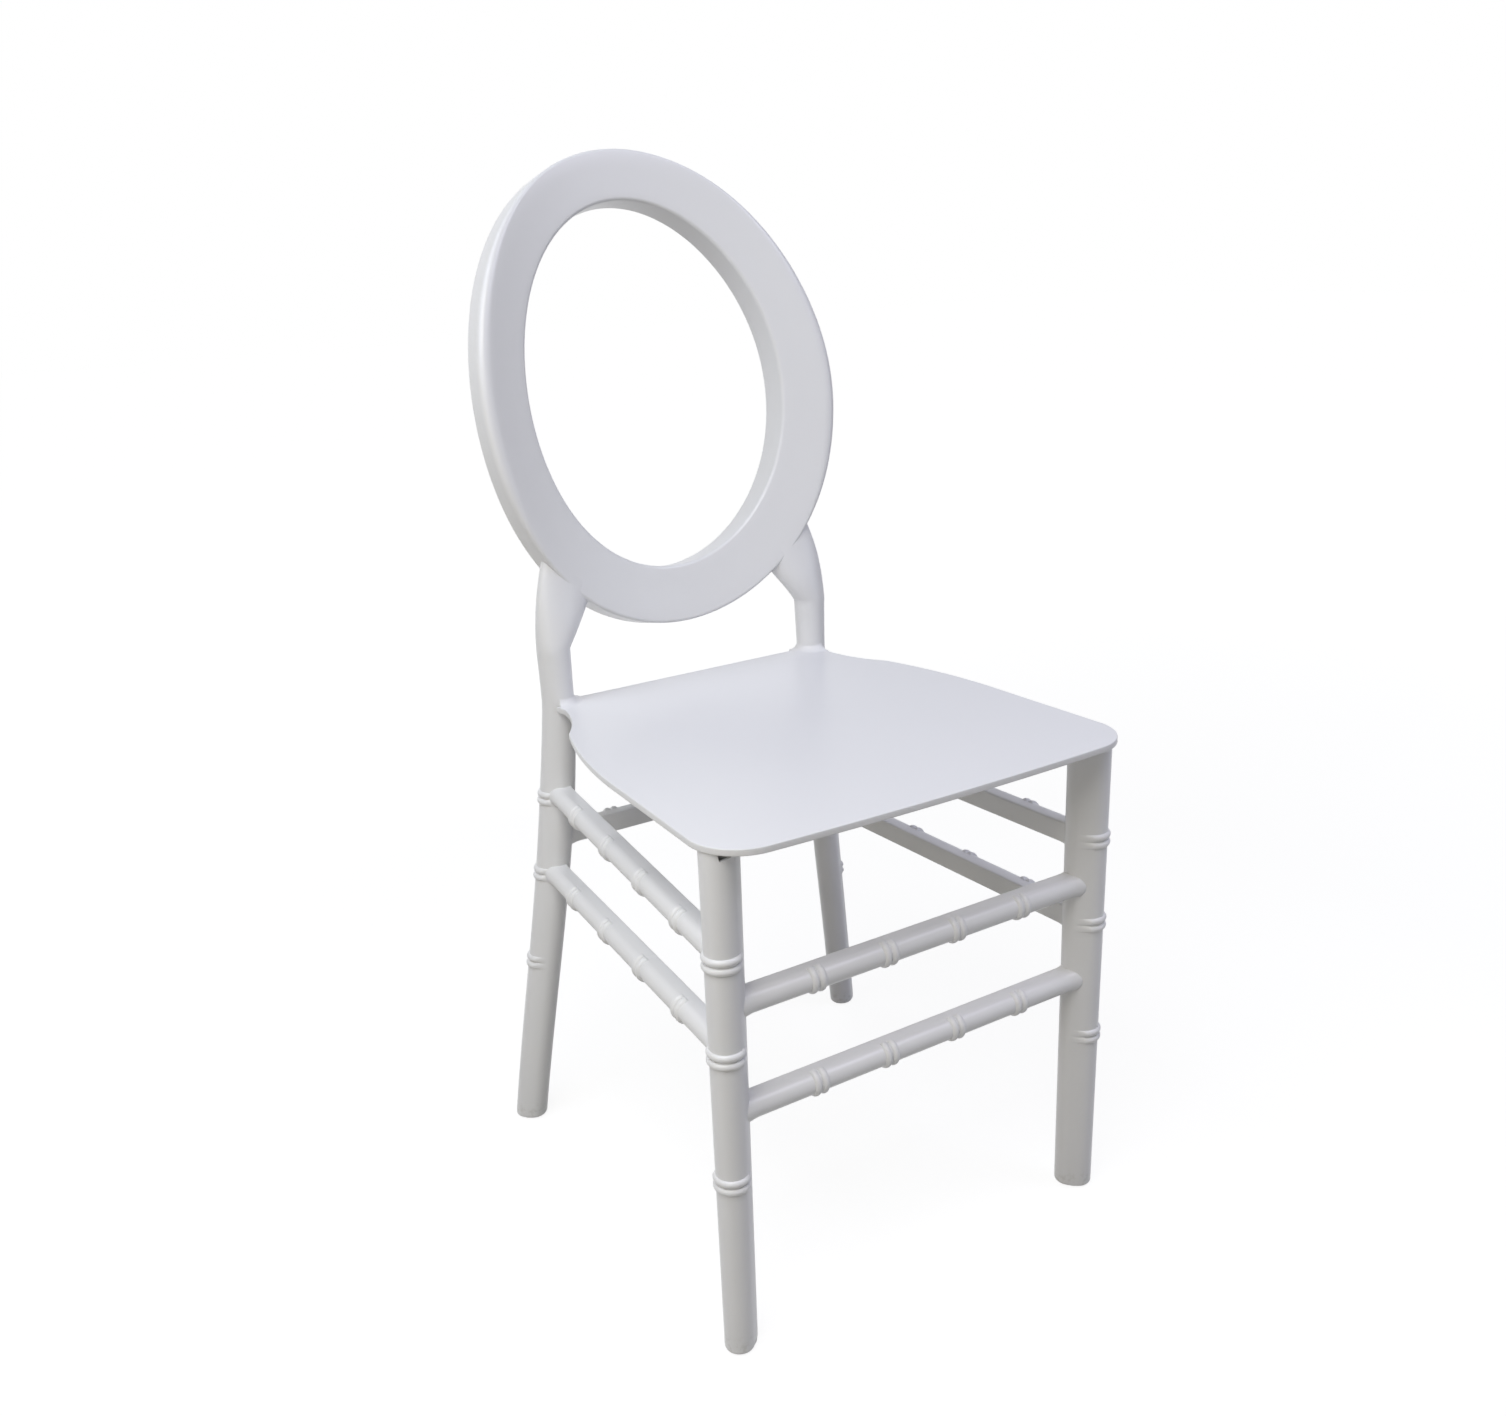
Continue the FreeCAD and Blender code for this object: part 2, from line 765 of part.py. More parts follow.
for level in ("upper", "lower"):
    z = size(f"front_{level}_z")
    right = front_axis(z)
    name = f"front_stretcher_{level}"
    place, length, nodes[name] = stretcher(
        name, right, flipped(right), BACK * -1, size("front_ring_pitch"), [front_blank, front_blank_left]
    )
    front_mortises.append(tenon(name + "_mortise", place, length, 0, fit))

for level in ("upper", "lower"):
    start = rear_axis(size(f"side_{level}_rear_z"))
    end = front_axis(size(f"side_{level}_front_z"))
    name = f"side_stretcher_right_{level}"
    place, length, nodes[name] = stretcher(
        name, start, end, RIGHT, size("side_ring_pitch"), [front_blank, rear_blank]
    )
    rear_mortises.append(tenon(name + "_mortise_rear", place, length, 0, fit))
    front_mortises.append(tenon(name + "_mortise_front", place, length, 1, fit))
    nodes[f"side_stretcher_left_{level}"] = mirror(f"side_stretcher_left_{level}", nodes[name])

right = rear_axis(size("rear_stretcher_z"))
place, length, nodes["rear_stretcher"] = stretcher(
    "rear_stretcher", flipped(right), right, BACK, size("rear_ring_pitch"), [rear_blank, rear_blank_left]
)
rear_mortises.append(tenon("rear_stretcher_mortise", place, length, 1, fit))

# Seat


def seat_panel():
    """Thin plate with ribs, front plugs and rear blocks underneath."""
    body = new_body("seat_core")
    sketch = new_sketch(body, "seat_outline", "XY_Plane", z="dims.seat_top")
    corner_start = (size("seat_corner_start_x"), size("seat_corner_start_y"))
    corner_end = (size("seat_corner_end_x"), size("seat_corner_end_y"))
    side = (size("seat_side_x"), size("seat_side_y"))
    rear = (size("seat_rear_x"), size("seat_back_y"))

    def left(point):
        return (-point[0], point[1])

    corners = [left(corner_start), corner_start, corner_end, side, rear, left(rear), left(side), left(corner_end)]
    names = ["start", "start", "end", "side", "rear", "rear", "side", "end"]
    radii = ["seat_front_radius", "seat_corner_radius", None, "seat_side_radius"]
    radii += [None, "seat_side_radius", None, "seat_corner_radius"]
    for index, radius in enumerate(radii):
        start = corners[index]
        end = corners[(index + 1) % 8]
        if radius is None:
            sketch.addGeometry(line(start, end))
            continue
        middle = Vector((start[0] + end[0]) / 2, (start[1] + end[1]) / 2, 0)
        chord = Vector(end[0] - start[0], end[1] - start[1], 0)
        rise = math.sqrt(size(radius) ** 2 - (chord.Length / 2) ** 2)
        centre = middle + unit(UP.cross(chord)) * rise
        first = math.degrees(math.atan2(start[1] - centre.y, start[0] - centre.x))
        last = math.degrees(math.atan2(end[1] - centre.y, end[0] - centre.x))
        sketch.addGeometry(arc((centre.x, centre.y), size(radius), first, last))
    aliases = {"start": "seat_corner_start", "end": "seat_corner_end", "side": "seat_side", "rear": "seat_rear"}
    for index, name in enumerate(names):
        sketch.addConstraint(Sketcher.Constraint("Coincident", index - 1 if index else 7, 2, index, 1))
        sign = "" if 0 < index < 5 else "-"
        alias_y = "seat_back_y" if name == "rear" else aliases[name] + "_y"
        drive(sketch, f"x{index}", f"{sign}dims.{aliases[name]}_x", "DistanceX", -1, 1, index, 1)
        drive(sketch, f"y{index}", f"dims.{alias_y}", "DistanceY", -1, 1, index, 1)
    for index, radius in enumerate(radii):
        if radius is not None:
            drive(sketch, f"r{index}", f"dims.{radius}", "Radius", index)
    plate = pad(body, "seat_plate", sketch, "dims.seat_edge", reverse=True)
    doc.recompute()
    level_edges = [
        f"Edge{index}"
        for index, edge in enumerate(plate.Shape.Edges, start=1)
        if edge.BoundBox.ZLength < 0.1
    ]
    soft = body.newObject("PartDesign::Fillet", "seat_soft_edge")
    soft.Base = (plate, level_edges)
    bind(soft, Radius="dims.seat_edge_round")
    under = "dims.seat_top - dims.seat_edge"
    half = "dims.seat_rib_width / 2"
    wide = "dims.seat_rib_side_x"
    for name, sides in {
        "rib_front": (f"-{wide}", "dims.seat_rib_front_y", wide, "dims.seat_rib_front_y + dims.seat_rib_width"),
        "rib_middle": (f"-{wide}", "dims.seat_rib_middle_y", wide, "dims.seat_rib_middle_y + dims.seat_rib_width"),
        "rib_rear": (
            "-dims.seat_block_outer_x",
            "dims.seat_rib_rear_y",
            "dims.seat_block_outer_x",
            "dims.seat_rib_rear_y + dims.seat_rib_width",
        ),
        "rib_centre": (f"-{half}", "dims.seat_rib_front_y", half, "dims.seat_rib_rear_y"),
        "rib_right": (f"{wide} - dims.seat_rib_width", "dims.seat_rib_front_y", wide, "dims.seat_rib_middle_y"),
        "rib_left": (f"-{wide}", "dims.seat_rib_front_y", f"dims.seat_rib_width - {wide}", "dims.seat_rib_middle_y"),
    }.items():
        rib = rectangle(new_sketch(body, name + "_plan", "XY_Plane", z=under), *sides)
        pad(body, name, rib, "dims.seat_rib_depth", reverse=True)
    inner = "dims.seat_block_inner_x"
    outer = "dims.seat_block_outer_x"
    front = "dims.seat_block_front_y"
    rear_side = "dims.seat_block_rear_y"
    for name, sides in {
        "block_right": (inner, front, outer, rear_side),
        "block_left": (f"-{outer}", front, f"-{inner}", rear_side),
    }.items():
        block = rectangle(new_sketch(body, name + "_plan", "XY_Plane", z=under), *sides)
        pad(body, name, block, "dims.seat_block_depth", reverse=True)
    doc.recompute()
    return body


seat_core = seat_panel()
plug_height = size("seat_plug_depth") + size("seat_edge") / 2
plug_top = size("seat_top") - size("seat_edge") / 2
plug_spot = front_axis(size("seat_top") - size("seat_plug_depth") / 2)
plug_base = Vector(plug_spot.x, plug_spot.y, plug_top - plug_height)
plug = solid(
    "Cylinder",
    "seat_plug",
    Placement(plug_base, Rotation()),
    Radius="dims.seat_plug_radius",
    Height="dims.seat_plug_depth + dims.seat_edge / 2",
)
plug_left = mirror("seat_plug_left", plug)

bite_spot = Vector(size("rear_top_x"), size("rear_top_y"), size("seat_top") - REACH / 2)
bite = solid(
    "Cylinder",
    "seat_bite",
    Placement(bite_spot, Rotation()),
    Radius="dims.seat_post_bite",
    Height=str(REACH),
)
bite_left = mirror("seat_bite_left", bite)

front_screw_places = [screw_place_front()]
rear_screw_places = [screw_place_rear()]
hoop_screw_places = screw_places_hoop()
front_screw_length = size("front_screw_length")
rear_screw_length = size("rear_screw_length")
hoop_screw_length = size("hoop_screw_length")

front_screw_holes = shaped("front_screw_holes", screw_set(front_screw_places, front_screw_length, fit))
rear_screw_holes = shaped("rear_screw_holes", screw_set(rear_screw_places, rear_screw_length, fit))
hoop_screw_holes = shaped("hoop_screw_holes", screw_set(hoop_screw_places, hoop_screw_length, fit))

collar_base = Vector(size("rear_top_x"), size("rear_top_y"), plug_top)
collar_turn = 225.0 - size("seat_collar_sweep") / 2
collar = solid(
    "Cylinder",
    "seat_collar",
    Placement(collar_base, Rotation(UP, collar_turn)),
    Radius="dims.seat_collar_radius",
    Height="dims.seat_collar_height + dims.seat_edge / 2",
    Angle="dims.seat_collar_sweep",
)
collar_left = mirror("seat_collar_left", collar)

seat_body = fuse("seat_with_plugs", [seat_core, plug, plug_left, collar, collar_left])
seat_holes = fuse("seat_holes", [bite, bite_left, front_screw_holes, rear_screw_holes])
nodes["seat_panel"] = cut("seat_panel", seat_body, seat_holes)

# Front legs with their holes

socket = solid(
    "Cylinder",
    "seat_socket",
    Placement(plug_base - UP * 2.0, Rotation()),
    Radius=f"dims.seat_plug_radius + {fit}",
    Height="dims.seat_plug_depth + dims.seat_edge + 4",
)


def glide_bore(name, spot):
    """Round hole in a foot for the glide's stem."""
    return solid(
        "Cylinder",
        name,
        Placement(Vector(spot.x, spot.y, 0), Rotation()),
        Radius=f"dims.glide_stem_radius + {fit}",
        Height=f"dims.foot_gap + dims.glide_stem_height + {fit}",
    )


front_foot = front_axis(size("foot_gap"))
rear_foot = rear_axis(size("foot_gap"))
front_holes = fuse(
    "front_leg_holes",
    front_mortises + [socket, glide_bore("front_glide_bore", front_foot), front_screw_holes],
)
nodes["front_leg_right"] = cut("front_leg_right", front_blank, front_holes)
nodes["front_leg_left"] = mirror("front_leg_left", nodes["front_leg_right"])

# Hoop and rear legs

rim = shaped("hoop_rim_cut", rim_prism(-fit), HOOP_PLACE)
rear_trimmed = cut("rear_leg_trimmed", rear_blank, rim)
tongue_right = tongue("tongue_right", 0.0)
rear_joined = fuse("rear_leg_joined", [rear_trimmed, tongue_right])
rear_holes = fuse(
    "rear_leg_holes",
    rear_mortises + [glide_bore("rear_glide_bore", rear_foot), rear_screw_holes, hoop_screw_holes],
)
nodes["rear_leg_right"] = cut("rear_leg_right", rear_joined, rear_holes)
nodes["rear_leg_left"] = mirror("rear_leg_left", nodes["rear_leg_right"])

ring = shaped("hoop_ring", hoop_ring(), HOOP_PLACE)
pocket = tongue("tongue_pocket", fit)
pocket_left = mirror("tongue_pocket_left", pocket)
hoop_holes = fuse("hoop_holes", [pocket, pocket_left, hoop_screw_holes])
nodes["back_hoop"] = cut("back_hoop", ring, hoop_holes)

# Glides and screws


def glide(name, spot):
    """Turned plug that stands on the floor."""
    stem = solid(
        "Cylinder",
        name + "_stem",
        Placement(Vector(spot.x, spot.y, 0), Rotation()),
        Radius="dims.glide_stem_radius",
        Height="dims.foot_gap + dims.glide_stem_height",
    )
    foot = solid(
        "Cylinder",
        name + "_pad",
        Placement(Vector(spot.x, spot.y, 0), Rotation()),
        Radius="dims.glide_radius",
        Height="dims.foot_gap",
    )
    return fuse(name, [stem, foot])


for end, spot in (("front", front_foot), ("rear", rear_foot)):
    right_name = f"foot_glide_{end}_right"
    left_name = f"foot_glide_{end}_left"
    nodes[right_name] = glide(right_name, spot)
    nodes[left_name] = mirror(left_name, nodes[right_name])

nodes["front_seat_screws"] = shaped("front_seat_screws", screw_set(front_screw_places, front_screw_length))
nodes["rear_seat_screws"] = shaped("rear_seat_screws", screw_set(rear_screw_places, rear_screw_length))
nodes["hoop_screws"] = shaped("hoop_screws", screw_set(hoop_screw_places, hoop_screw_length))

doc.recompute()

# Every object has to be sound before anything is written

broken = [item.Name for item in doc.Objects if {"Invalid", "Error"} & set(item.State)]
for name, item in nodes.items():
    item.Label = name
    if item.Shape.isNull() or not item.Shape.isValid() or not item.Shape.Solids:
        broken.append(name)
if broken:
    raise RuntimeError("unsound objects: " + ", ".join(sorted(set(broken))))

os.makedirs("parts", exist_ok=True)
for name, item in sorted(nodes.items()):
    item.Shape.exportStep(os.path.join("parts", name + ".step"))
    count = len(item.Shape.Solids)
    print(f"{name}: {count} solid(s), {item.Shape.Volume / 1000.0:.1f} cm3")
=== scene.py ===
"""Oval hoop back dining chair in glossy white moulded resin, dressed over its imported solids.

The classes hold their sizes in millimetres, in the frame of the solids. A mesh is scaled to metres when it
leaves its mould, so every piece's object stays at the origin.
"""

import logging
import math
from collections.abc import Callable, Iterable
from dataclasses import dataclass, field
from enum import Enum

import bmesh
import bpy
from mathutils import Matrix, Vector


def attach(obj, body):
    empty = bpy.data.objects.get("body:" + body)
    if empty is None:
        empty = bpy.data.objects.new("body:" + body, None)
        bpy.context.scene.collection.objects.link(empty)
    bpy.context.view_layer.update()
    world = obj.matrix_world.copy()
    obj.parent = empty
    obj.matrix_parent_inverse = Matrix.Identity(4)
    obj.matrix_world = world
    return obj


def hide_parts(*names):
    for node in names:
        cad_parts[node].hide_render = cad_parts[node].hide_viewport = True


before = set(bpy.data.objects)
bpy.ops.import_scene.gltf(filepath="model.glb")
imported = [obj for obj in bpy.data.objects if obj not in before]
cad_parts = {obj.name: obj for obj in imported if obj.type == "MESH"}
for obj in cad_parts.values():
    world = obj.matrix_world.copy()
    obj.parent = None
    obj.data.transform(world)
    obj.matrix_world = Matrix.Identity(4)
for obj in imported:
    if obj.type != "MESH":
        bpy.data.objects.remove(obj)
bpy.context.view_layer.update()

LOG = logging.getLogger("hoop_chair")
MM = 0.001
# Cosine below which a point lies on a leg's parting line
PARTING = 1e-4
# Digits by which the turns of two points are told apart
TURN_DIGITS = 4
# Distance in millimetres within which points are merged
WELD = 0.01
# Angle in degrees from which an edge stays sharp
SHARP_FROM = 32.0
# Factor that brings the curve of a rear leg's bow to one at its fullest
BOW_PEAK = 27.0 / 4.0
# Sockets of the node that mixes two colours
MIX_SHARE, MIX_LOW, MIX_HIGH, MIX_RESULT = 0, 6, 7, 2

Span = tuple[float, float]
Triple = tuple[float, float, float]
Colour = tuple[float, float, float, float]
Section = Callable[[Vector], Vector]
Edges = list[bmesh.types.BMEdge]


class Side(Enum):
    """Side of the chair, for someone who looks at it from the front."""

    LEFT = -1
    RIGHT = 1

    @property
    def word(self) -> str:
        """Word for this side in a node's name."""
        return self.name.lower()


class Level(Enum):
    """Height of a stretcher in its pair."""

    UPPER = "upper"
    LOWER = "lower"


class Row(Enum):
    """Row of legs."""

    FRONT = "front"
    REAR = "rear"


def ease(share: float) -> float:
    """Smooth step of a share that is held between nothing and one."""
    held = min(1.0, max(0.0, share))
    return held * held * (3.0 - 2.0 * held)


def blend(low: float, high: float, share: float) -> float:
    """Value a share of the way from a low to a high one."""
    return low + (high - low) * share


class NodeBoard:
    """Node tree of a material or of the world, with short calls to add and join its nodes."""

    def __init__(self, owner: bpy.types.Material | bpy.types.World) -> None:
        """Clear the owner's tree.

        Args:
            owner: Material or world whose nodes are laid out.
        """
        self.owner = owner
        owner.use_nodes = True
        self.tree = owner.node_tree
        self.tree.nodes.clear()

    def add(self, kind: str, settings: dict[str, object] | None = None, **inputs: object) -> bpy.types.Node:
        """Add one node.

        Args:
            kind: Blender's name of the node type.
            settings: Properties of the node itself.
            **inputs: Values or output sockets for its inputs, with _ for a space in the input's name.

        Returns:
            The node.
        """
        node = self.tree.nodes.new(kind)
        for key, value in (settings or {}).items():
            setattr(node, key, value)
        for key, value in inputs.items():
            self.feed(node.inputs[key.replace("_", " ")], value)
        return node

    def feed(self, socket: bpy.types.NodeSocket, value: object) -> None:
        """Give an input its value, or join it to an output.

        Args:
            socket: The input.
            value: Value or output socket.
        """
        if isinstance(value, bpy.types.NodeSocket):
            self.tree.links.new(value, socket)
        else:
            socket.default_value = value

    def noise(self, place: bpy.types.NodeSocket, scale: float, detail: float = 2.0) -> bpy.types.NodeSocket:
        """Noise over a place.

        Args:
            place: Coordinates to read.
            scale: Waves per metre, about.
            detail: Octaves of finer waves.

        Returns:
            The noise's value.
        """
        return self.add("ShaderNodeTexNoise", Vector=place, Scale=scale, Detail=detail).outputs["Fac"]

    def spread(
        self, value: bpy.types.NodeSocket, low: float, high: float, to_low: float, to_high: float
    ) -> bpy.types.NodeSocket:
        """Map one range of a value to another.

        Args:
            value: What is mapped.
            low: Start of its range.
            high: End of its range.
            to_low: Result at the start.
            to_high: Result at the end.

        Returns:
            The mapped value, held inside the new range.
        """
        node = self.add(
            "ShaderNodeMapRange", Value=value, From_Min=low, From_Max=high, To_Min=to_low, To_Max=to_high
        )
        return node.outputs["Result"]

    def combine(self, operation: str, first: object, second: object) -> bpy.types.NodeSocket:
        """Join two values by a sum.

        Args:
            operation: Blender's name of the sum.
            first: First value or socket.
            second: Second value or socket.

        Returns:
            The result.
        """
        node = self.add("ShaderNodeMath", {"operation": operation})
        self.feed(node.inputs[0], first)
        self.feed(node.inputs[1], second)
        return node.outputs["Value"]

    def tint(self, share: bpy.types.NodeSocket, low: object, high: object) -> bpy.types.NodeSocket:
        """Mix two colours.

        Args:
            share: Share of the second colour.
            low: First colour or socket.
            high: Second colour or socket.

        Returns:
            The mixed colour.
        """
        node = self.add("ShaderNodeMix", {"data_type": "RGBA"})
        for index, value in ((MIX_SHARE, share), (MIX_LOW, low), (MIX_HIGH, high)):
            self.feed(node.inputs[index], value)
        return node.outputs[MIX_RESULT]

    def seen(self) -> bpy.types.NodeSocket:
        """Tell the rays that show the background itself from those that bring light.

        Returns:
            One for rays from the camera, a mirror or clear stuff, else nothing.
        """
        path = self.add("ShaderNodeLightPath").outputs
        plain = self.combine("MAXIMUM", path["Is Camera Ray"], path["Is Glossy Ray"])
        return self.combine("MAXIMUM", plain, path["Is Transmission Ray"])

    def split(self, lit: bpy.types.Node, shown: bpy.types.Node) -> bpy.types.Node:
        """Use one shader as a source of light and another where the background itself is seen.

        Args:
            lit: Shader that gives light to the chair.
            shown: Shader that is seen.

        Returns:
            The mixed shader.
        """
        mix = self.add("ShaderNodeMixShader", Fac=self.seen())
        self.tree.links.new(lit.outputs[0], mix.inputs[1])
        self.tree.links.new(shown.outputs[0], mix.inputs[2])
        return mix

    def close(self, shader: bpy.types.Node) -> None:
        """Give the tree its output.

        Args:
            shader: Shader that the output shows.
        """
        kind = "World" if isinstance(self.owner, bpy.types.World) else "Material"
        output = self.add("ShaderNodeOutput" + kind)
        self.tree.links.new(shader.outputs[0], output.inputs["Surface"])

    def shade(self, **inputs: object) -> bpy.types.Material:
        """Close the tree with a surface shader.

        Args:
            **inputs: Inputs of the shader.

        Returns:
            The finished material.
        """
        self.close(self.add("ShaderNodeBsdfPrincipled", **inputs))
        return self.owner


@dataclass(frozen=True)
class ResinFinish:
    """White resin from a polished mould: even colour, slow ripples, fine orange peel and scuffed feet."""

    name: str
    pale: Colour = (0.80, 0.80, 0.805, 1.0)
    deep: Colour = (0.778, 0.778, 0.786, 1.0)
    scuff: Colour = (0.60, 0.59, 0.565, 1.0)
    cloud_scale: float = 5.0
    gloss_low: float = 0.285
    gloss_high: float = 0.32
    flow_scale: float = 9.0
    noise_range: Span = (0.2, 0.8)
    scuff_zone: Span = (0.003, 0.022)
    scuff_share: float = 0.7
    scuff_scale: float = 240.0
    scuff_range: Span = (0.50, 0.66)
    scuff_dulling: float = 0.3
    ripple_scale: float = 34.0
    ripple_strength: float = 0.006
    ripple_depth: float = 0.004
    peel_scale: float = 900.0
    peel_strength: float = 0.003
    peel_depth: float = 0.0006
    scratch: float = 0.0
    scratch_turn: float = 0.35
    scratch_scale: Triple = (9.0, 420.0, 1.0)
    scratch_range: Span = (0.62, 0.74)
    ior: float = 1.49

    def scratches(self, board: NodeBoard, place: bpy.types.NodeSocket) -> bpy.types.NodeSocket:
        """Lay fine scratches that run one way.

        Args:
            board: Board of the material.
            place: Coordinates to read.

        Returns:
            How much duller each place is for its scratches.
        """
        grain = board.add("ShaderNodeMapping", {"vector_type": "POINT"}, Vector=place)
        grain.inputs["Rotation"].default_value = (0.0, 0.0, self.scratch_turn)
        grain.inputs["Scale"].default_value = self.scratch_scale
        lines = board.noise(grain.outputs["Vector"], scale=1.0)
        return board.spread(lines, *self.scratch_range, 0.0, self.scratch)

    def material(self) -> bpy.types.Material:
        """Build the finish's nodes.

        Returns:
            The material.
        """
        board = NodeBoard(bpy.data.materials.new(self.name))
        place = board.add("ShaderNodeTexCoord").outputs["Object"]
        cloud = board.noise(place, self.cloud_scale, detail=1.0)
        tone = board.tint(board.spread(cloud, *self.noise_range, 0.0, 1.0), self.pale, self.deep)
        height = board.add("ShaderNodeSeparateXYZ", Vector=place).outputs["Z"]
        low = board.spread(height, *self.scuff_zone, self.scuff_share, 0.0)
        marks = board.spread(board.noise(place, self.scuff_scale, detail=5.0), *self.scuff_range, 0.0, 1.0)
        scuffed = board.combine("MULTIPLY", low, marks)
        colour = board.tint(scuffed, tone, self.scuff)
        flow = board.noise(place, self.flow_scale, detail=1.0)
        gloss = board.spread(flow, *self.noise_range, self.gloss_low, self.gloss_high)
        gloss = board.combine("ADD", gloss, board.combine("MULTIPLY", scuffed, self.scuff_dulling))
        if self.scratch > 0.0:
            gloss = board.combine("ADD", gloss, self.scratches(board, place))
        ripple = board.add(
            "ShaderNodeBump",
            Height=board.noise(place, self.ripple_scale, detail=1.0),
            Strength=self.ripple_strength,
            Distance=self.ripple_depth,
        )
        peel = board.add(
            "ShaderNodeBump",
            Height=board.noise(place, self.peel_scale),
            Strength=self.peel_strength,
            Distance=self.peel_depth,
            Normal=ripple.outputs["Normal"],
        )
        return board.shade(Base_Color=colour, Roughness=gloss, Normal=peel.outputs["Normal"], IOR=self.ior)


@dataclass(frozen=True)
class NylonFinish:
    """Matte nylon of the foot glides, worn grey where it meets the floor."""

    name: str = "glide_nylon_worn"
    fresh: Colour = (0.62, 0.62, 0.60, 1.0)
    worn: Colour = (0.33, 0.32, 0.30, 1.0)
    sole: float = 0.0025
    dirt_scale: float = 420.0
    dirt_range: Span = (0.35, 0.6)
    least_dirt: float = 0.2
    grain_scale: float = 600.0
    grain_range: Span = (0.3, 0.7)
    rough: Span = (0.42, 0.6)
    pit_scale: float = 1600.0
    pit_strength: float = 0.15
    pit_depth: float = 0.0004
    ior: float = 1.53

    def material(self) -> bpy.types.Material:
        """Build the finish's nodes.

        Returns:
            The material.
        """
        board = NodeBoard(bpy.data.materials.new(self.name))
        place = board.add("ShaderNodeTexCoord").outputs["Object"]
        height = board.add("ShaderNodeSeparateXYZ", Vector=place).outputs["Z"]
        sole = board.spread(height, 0.0, self.sole, 1.0, 0.0)
        spots = board.noise(place, self.dirt_scale, detail=5.0)
        dirt = board.combine("MULTIPLY", sole, board.spread(spots, *self.dirt_range, self.least_dirt, 1.0))
        colour = board.tint(dirt, self.fresh, self.worn)
        grain = board.noise(place, self.grain_scale, detail=3.0)
        rough = board.spread(grain, *self.grain_range, *self.rough)
        pits = board.noise(place, self.pit_scale, detail=3.0)
        bump = board.add("ShaderNodeBump", Height=pits, Strength=self.pit_strength, Distance=self.pit_depth)
        return board.shade(Base_Color=colour, Roughness=rough, Normal=bump.outputs["Normal"], IOR=self.ior)


@dataclass(frozen=True)
class ZincFinish:
    """Zinc plated steel of the screws, finely turned and a little dull."""

    name: str = "screw_zinc_turned"
    bright: Colour = (0.66, 0.67, 0.68, 1.0)
    dull: Colour = (0.46, 0.46, 0.45, 1.0)
    stain_scale: float = 300.0
    stain_range: Span = (0.4, 0.62)
    grain_scale: float = 900.0
    grain_range: Span = (0.3, 0.7)
    rough: Span = (0.24, 0.42)
    groove_scale: float = 3000.0
    groove_strength: float = 0.2
    groove_depth: float = 0.0002

    def material(self) -> bpy.types.Material:
        """Build the finish's nodes.

        Returns:
            The material.
        """
        board = NodeBoard(bpy.data.materials.new(self.name))
        place = board.add("ShaderNodeTexCoord").outputs["Object"]
        stain = board.spread(board.noise(place, self.stain_scale, detail=4.0), *self.stain_range, 0.0, 1.0)
        colour = board.tint(stain, self.bright, self.dull)
        grain = board.noise(place, self.grain_scale, detail=3.0)
        rough = board.spread(grain, *self.grain_range, *self.rough)
        grooves = board.noise(place, self.groove_scale)
        bump = board.add(
            "ShaderNodeBump", Height=grooves, Strength=self.groove_strength, Distance=self.groove_depth
        )
        return board.shade(Base_Color=colour, Metallic=1.0, Roughness=rough, Normal=bump.outputs["Normal"])


